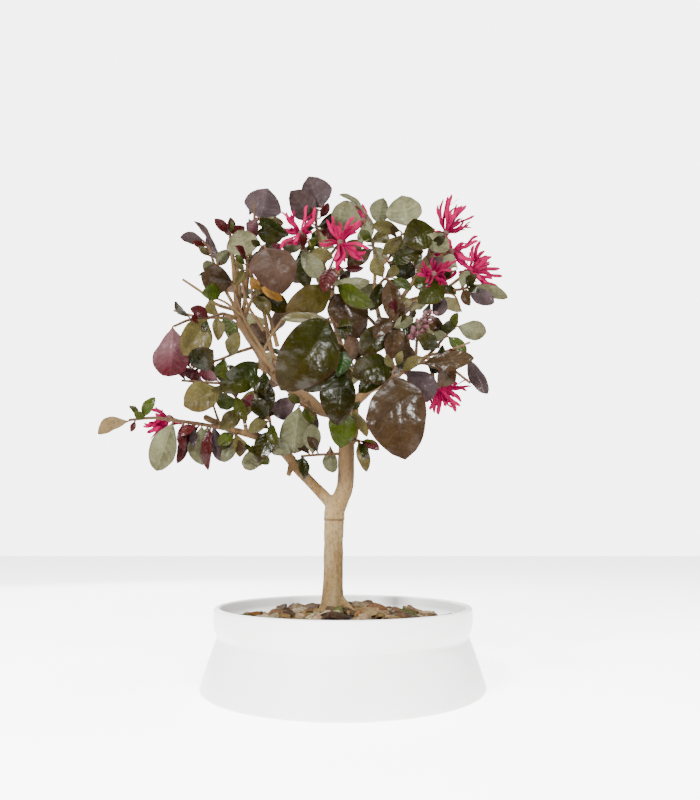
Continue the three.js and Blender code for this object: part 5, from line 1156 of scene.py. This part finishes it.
for part, rows in wood.items():
    isStout = rows[0][3] > trunkLook["stoutFrom"]
    sides = trunkLook["stoutSides" if isStout else "thinSides"]
    tube = tubeOf([seen(row) for row in rows], [row[3] for row in rows], sides, part, 6)
    (stout if isStout else thin).append(tube)
sides = trunkLook["thinSides"]
for places, radius in twigs:
    thin.append(tubeOf([seen(place) for place in places], [radius + 0.1, radius], sides, "twig", 2))
for places, low, high in fineTwigs:
    radii = taper(low, high, len(places))
    thin.append(tubeOf([seen(place) for place in places], radii, sides, "fineTwig"))
body = joined(stout, "trunkBody")
modify(body, "REMESH", mode="VOXEL", voxel_size=trunkLook["voxel"] * mm)
modify(body, "SMOOTH", iterations=trunkLook["smoothing"], factor=0.5)
coords = coordsOf(body)
x, y, z = (coords / mm).T
broad, slow, fine = trunkLook["lumps"]
lump = broad * np.sin(x * 0.55 + z * 0.19) * np.sin(y * 0.6 + 1.3) + slow * np.sin(z * 0.43 + x * 0.4)
lump += fine * np.sin(x * 1.9 + y * 1.4 + z * 0.5)
aboveRing = z - barkLook["ringHeight"] / mm
ridge = np.exp(-((aboveRing - trunkLook["ridgeAbove"]) / trunkLook["ridgeWidth"]) ** 2)
groove = np.exp(-(aboveRing / trunkLook["grooveWidth"]) ** 2)
onTrunk = np.abs(x - barkLook["trunkX"] / mm) < barkLook["trunkReach"] / mm
lump += (trunkLook["ringRidge"] * ridge - trunkLook["ringGroove"] * groove) * onTrunk
setCoords(body, coords + coordsOf(body, "normal") * lump[:, None] * mm)
woodPiece = joined([body] + thin, "trunkWood")
woodPiece.data.materials.append(barkMaterial)
finishPiece(woodPiece, "bark", "trunk")
print("trunk made,", len(woodPiece.data.polygons), "faces")

# Pot

potLook = {  # sizes in millimetres, and the relief in metres
    "profile": [(87, 0), (84.1, 9.7), (80.7, 20.6), (77.6, 29.5), (79.7, 32.9), (80.6, 38), (80.6, 45.7),
        (76.6, 45.7), (76.6, 39), (73.6, 34), (73.6, 29.5), (83, 5)],  # radius and height
    "segments": 128, "edgeRound": 1.3, "edgeAngle": 28, "drainRadius": 5, "drainRing": 30, "drains": 3,
    "drillDepth": 20,
    "white": (0.76, 0.757, 0.75, 1), "cloud": (0.70, 0.69, 0.68, 1), "speck": (0.62, 0.59, 0.56, 1),
    "cloudScale": 18, "speckScale": 900, "relief": 0.0008,
}


def makeGlazeMaterial():
    material, tree, shader = newMaterial("whiteGlaze")
    cloud = noiseOf(tree, potLook["cloudScale"], 2.0)
    specks = noiseOf(tree, potLook["speckScale"], 2.0)
    colour = blended(tree, ranged(tree, cloud, 0.3, 0.7), potLook["white"], potLook["cloud"])
    colour = blended(tree, ranged(tree, specks, 0.68, 0.78, 0.0, 0.25), colour, potLook["speck"])
    feed(tree, shader, {"Base Color": colour, "Roughness": ranged(tree, cloud, 0.2, 0.8, 0.34, 0.44)})
    addBump(tree, shader, timesPlus(tree, specks, 0.05, cloud), 0.25, potLook["relief"])
    return material


radius, height = potLook["profile"][0]
pot = primitive(bpy.ops.mesh.primitive_circle_add, "whitePot", vertices=potLook["segments"],
    radius=radius * mm)
editAll(pot)
for nextRadius, nextHeight in potLook["profile"][1:]:
    bpy.ops.mesh.extrude_region_move(TRANSFORM_OT_translate={"value": (0, 0, (nextHeight - height) * mm)})
    wider = nextRadius / radius
    bpy.ops.transform.resize(value=(wider, wider, 1), center_override=(0, 0, 0))
    radius, height = nextRadius, nextHeight
bpy.ops.mesh.select_all(action="SELECT")
bpy.ops.mesh.fill_holes(sides=0)
faceOutwards(pot)
modify(pot, "BEVEL", limit_method="ANGLE", angle_limit=math.radians(potLook["edgeAngle"]),
    width=potLook["edgeRound"] * mm, segments=4)
ring = potLook["drainRing"] * mm
for i in range(potLook["drains"]):
    angle = math.pi / 2 + 2 * math.pi * i / potLook["drains"]
    drill = primitive(bpy.ops.mesh.primitive_cylinder_add, "drill", vertices=32,
        depth=potLook["drillDepth"] * mm, radius=potLook["drainRadius"] * mm,
        location=(ring * math.cos(angle), ring * math.sin(angle), 0))
    modify(pot, "BOOLEAN", object=drill, operation="DIFFERENCE", solver="EXACT")
    bpy.data.objects.remove(drill)
pot.data.materials.append(makeGlazeMaterial())
finishPiece(pot, "pot_ceramic", "pot")
print("pot made,", len(pot.data.polygons), "faces")

# Loose layer of bark chips

chipLook = {  # sizes in millimetres
    "top": 42.4, "edge": 34.8, "radius": 73.3, "count": 380, "ring": 71, "forms": 4,
    "size": (2.4, 7.6), "width": (0.45, 0.8), "height": (0.22, 0.5), "tilt": (0.5, 0.4),
    "lift": (-1.3, 0.9), "tones": (0.6, 1.3), "trunk": (-6.5, 0), "clearOfTrunk": 8, "pastEdge": 0.6,
    "uneven": (0.72, 1.08), "cornerFrom": 2.5, "cornerCut": 0.84,  # on a cube from -1 to 1
    "bed": paint(46, 30, 20), "bedBelow": 1.6, "bedDepth": 1.2, "bedSquares": 110,
    "colours": [paint(206, 176, 138), paint(176, 144, 84), paint(140, 102, 66), paint(92, 62, 32),
        paint(226, 208, 170), paint(168, 112, 56), paint(124, 92, 54), paint(190, 158, 108),
        paint(120, 124, 54)],
}
chipMaterial = makeDownMaterial("barkChip", 520, 0.8, 0.85)
soilMaterial = makeDownMaterial("pottingSoil", 300, 0.9, 0.92)


def moundHeight(distance):
    return mix(chipLook["top"], chipLook["edge"], np.minimum(1, distance / chipLook["radius"]) ** 1.6)


bed = primitive(bpy.ops.mesh.primitive_grid_add, "bed", x_subdivisions=chipLook["bedSquares"],
    y_subdivisions=chipLook["bedSquares"], size=2)
square = coordsOf(bed)[:, :2]  # drawn out to a disc
reach = np.abs(square).max(axis=1)
length = np.maximum(np.linalg.norm(square, axis=1), 1e-9)
x, y = (square * (reach / length * (chipLook["radius"] - 0.2))[:, None]).T
height = moundHeight(np.hypot(x, y)) - chipLook["bedBelow"]
height += 0.5 * np.sin(x * 0.9 + 2 * np.sin(y * 0.31)) * np.sin(y * 0.8 + 1)
height += 0.3 * np.sin(x * 2.1 + 1.7) * np.sin(y * 1.9 + np.sin(x * 0.6))
setCoords(bed, np.column_stack([x, y, height]) * mm)
faceOutwards(bed)
modify(bed, "SOLIDIFY", thickness=chipLook["bedDepth"] * mm, offset=-1)
colourIn(bed, soilMaterial, chipLook["bed"])


def chipTemplate(form):  # a block with its points pushed about and its corners cut back
    made = primitive(bpy.ops.mesh.primitive_cube_add, "chip" + str(form), size=2)
    editAll(made)
    bpy.ops.mesh.subdivide(number_cuts=2)
    bpy.ops.object.mode_set(mode="OBJECT")
    coords = coordsOf(made)
    for i in range(len(coords)):
        coords[i] *= [drawn(*chipLook["uneven"], form * 31 + i * 3 + k) for k in range(3)]
    corner = np.abs(coords).sum(axis=1) > chipLook["cornerFrom"]
    setCoords(made, coords * np.where(corner, chipLook["cornerCut"], 1)[:, None])
    return made


chipForms = [chipTemplate(form) for form in range(chipLook["forms"])]
chips = [bed]
for i in range(chipLook["count"]):
    distance = chipLook["ring"] * math.sqrt((i + 0.5) / chipLook["count"])
    angle = goldenAngle * i + drawn(-0.15, 0.15, i + 0.2)
    x, y = distance * math.cos(angle), distance * math.sin(angle)
    if math.dist((x, y), chipLook["trunk"]) < chipLook["clearOfTrunk"]:
        continue
    size = mix(*chipLook["size"], draw(i + 0.3) ** 1.5)
    scale = size * np.array([1, drawn(*chipLook["width"], i + 0.4), drawn(*chipLook["height"], i + 0.5)])
    tilt = [drawn(-1, 1, i + 0.6) * chipLook["tilt"][0], drawn(-1, 1, i + 0.65) * chipLook["tilt"][1]]
    turn = np.array(Euler((*tilt, roundTurn * draw(i + 0.7))).to_matrix())
    room = chipLook["radius"] + chipLook["pastEdge"] - distance
    if size > room:
        scale *= max(room, 1.8) / size
    made = copyOf(chipForms[i % chipLook["forms"]])
    height = moundHeight(distance) + drawn(*chipLook["lift"], i + 0.8)
    setCoords(made, ((coordsOf(made) * scale) @ turn.T + np.array((x, y, height))) * mm)
    colour = np.array(chipLook["colours"][int(len(chipLook["colours"]) * draw(i + 0.9))])
    colour[:3] *= drawn(*chipLook["tones"], i + 0.95)
    colourIn(made, chipMaterial, np.clip(colour, 0, 1))
    chips.append(made)
layer = joined(chips, "chipLayer")
finishPiece(layer, "bark_chips", "bark_chips")
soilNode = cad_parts["soil"]
soilNode.data.materials.clear()
soilNode.data.materials.append(soilMaterial)
for template in chipForms + list(leafSheets.values()) + [petalSheet, calyx, bud]:
    bpy.data.objects.remove(template)
print("chips made,", len(layer.data.polygons), "faces")

# Floor, light and camera

studio = {  # places and sizes in metres, the lens and its sensor in millimetres, the pitch in degrees
    "room": 0.3, "backdrop": 5.6, "floor": (0.95, 0.95, 0.95, 1), "floorGlow": 3.6, "floorSize": 8,
    "crown": (0, 0, 0.2), "lens": 26.83, "sensor": 36, "pitch": 13.56,
    "lights": {  # place, size and power
        "keyLight": ((-0.5, -0.75, 0.75), 0.17, 34), "fillLight": ((0.4, -0.82, 0.84), 0.22, 20),
        "topLight": ((0.1, 0.0, 1.2), 0.6, 30), "backLight": ((-0.5, 0.9, 0.5), 0.6, 10)},
}
white = (1, 1, 1, 1)

floor = primitive(bpy.ops.mesh.primitive_plane_add, "paleFloor", size=studio["floorSize"])
floorMaterial, floorTree, floorShader = newMaterial("paleFloor")
feed(floorTree, floorShader, {"Base Color": studio["floor"], "Roughness": 0.8, "Emission Color": white,
    "Emission Strength": studio["floorGlow"]})
floor.data.materials.append(floorMaterial)
floor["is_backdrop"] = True

world = bpy.data.worlds.new("paleRoom")
bpy.context.scene.world = world
world.use_nodes = True
room = world.node_tree
roomLight = room.nodes["Background"]
feed(room, roomLight, {"Color": white, "Strength": studio["room"]})
backdrop = room.nodes.new("ShaderNodeBackground")
feed(room, backdrop, {"Color": white, "Strength": studio["backdrop"]})
chooser = room.nodes.new("ShaderNodeMixShader")
feed(room, chooser, {"Fac": room.nodes.new("ShaderNodeLightPath").outputs["Is Camera Ray"],
    1: roomLight.outputs["Background"], 2: backdrop.outputs["Background"]})
feed(room, room.nodes["World Output"], {"Surface": chooser.outputs["Shader"]})

for name, (place, size, power) in studio["lights"].items():
    light = bpy.data.lights.new(name, "AREA")
    light.size = size
    light.energy = power
    lamp = bpy.data.objects.new(name, light)
    lamp.location = place
    lamp.rotation_euler = (Vector(studio["crown"]) - Vector(place)).to_track_quat("-Z", "Y").to_euler()
    bpy.context.scene.collection.objects.link(lamp)

camera = bpy.data.objects.new("photoView", bpy.data.cameras.new("photoView"))
camera.data.lens = studio["lens"]
camera.data.sensor_width = studio["sensor"]
camera.location = eye * mm
camera.rotation_euler = (math.radians(90 + studio["pitch"]), 0, 0)
bpy.context.scene.collection.objects.link(camera)
bpy.context.scene.camera = camera

low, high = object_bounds()
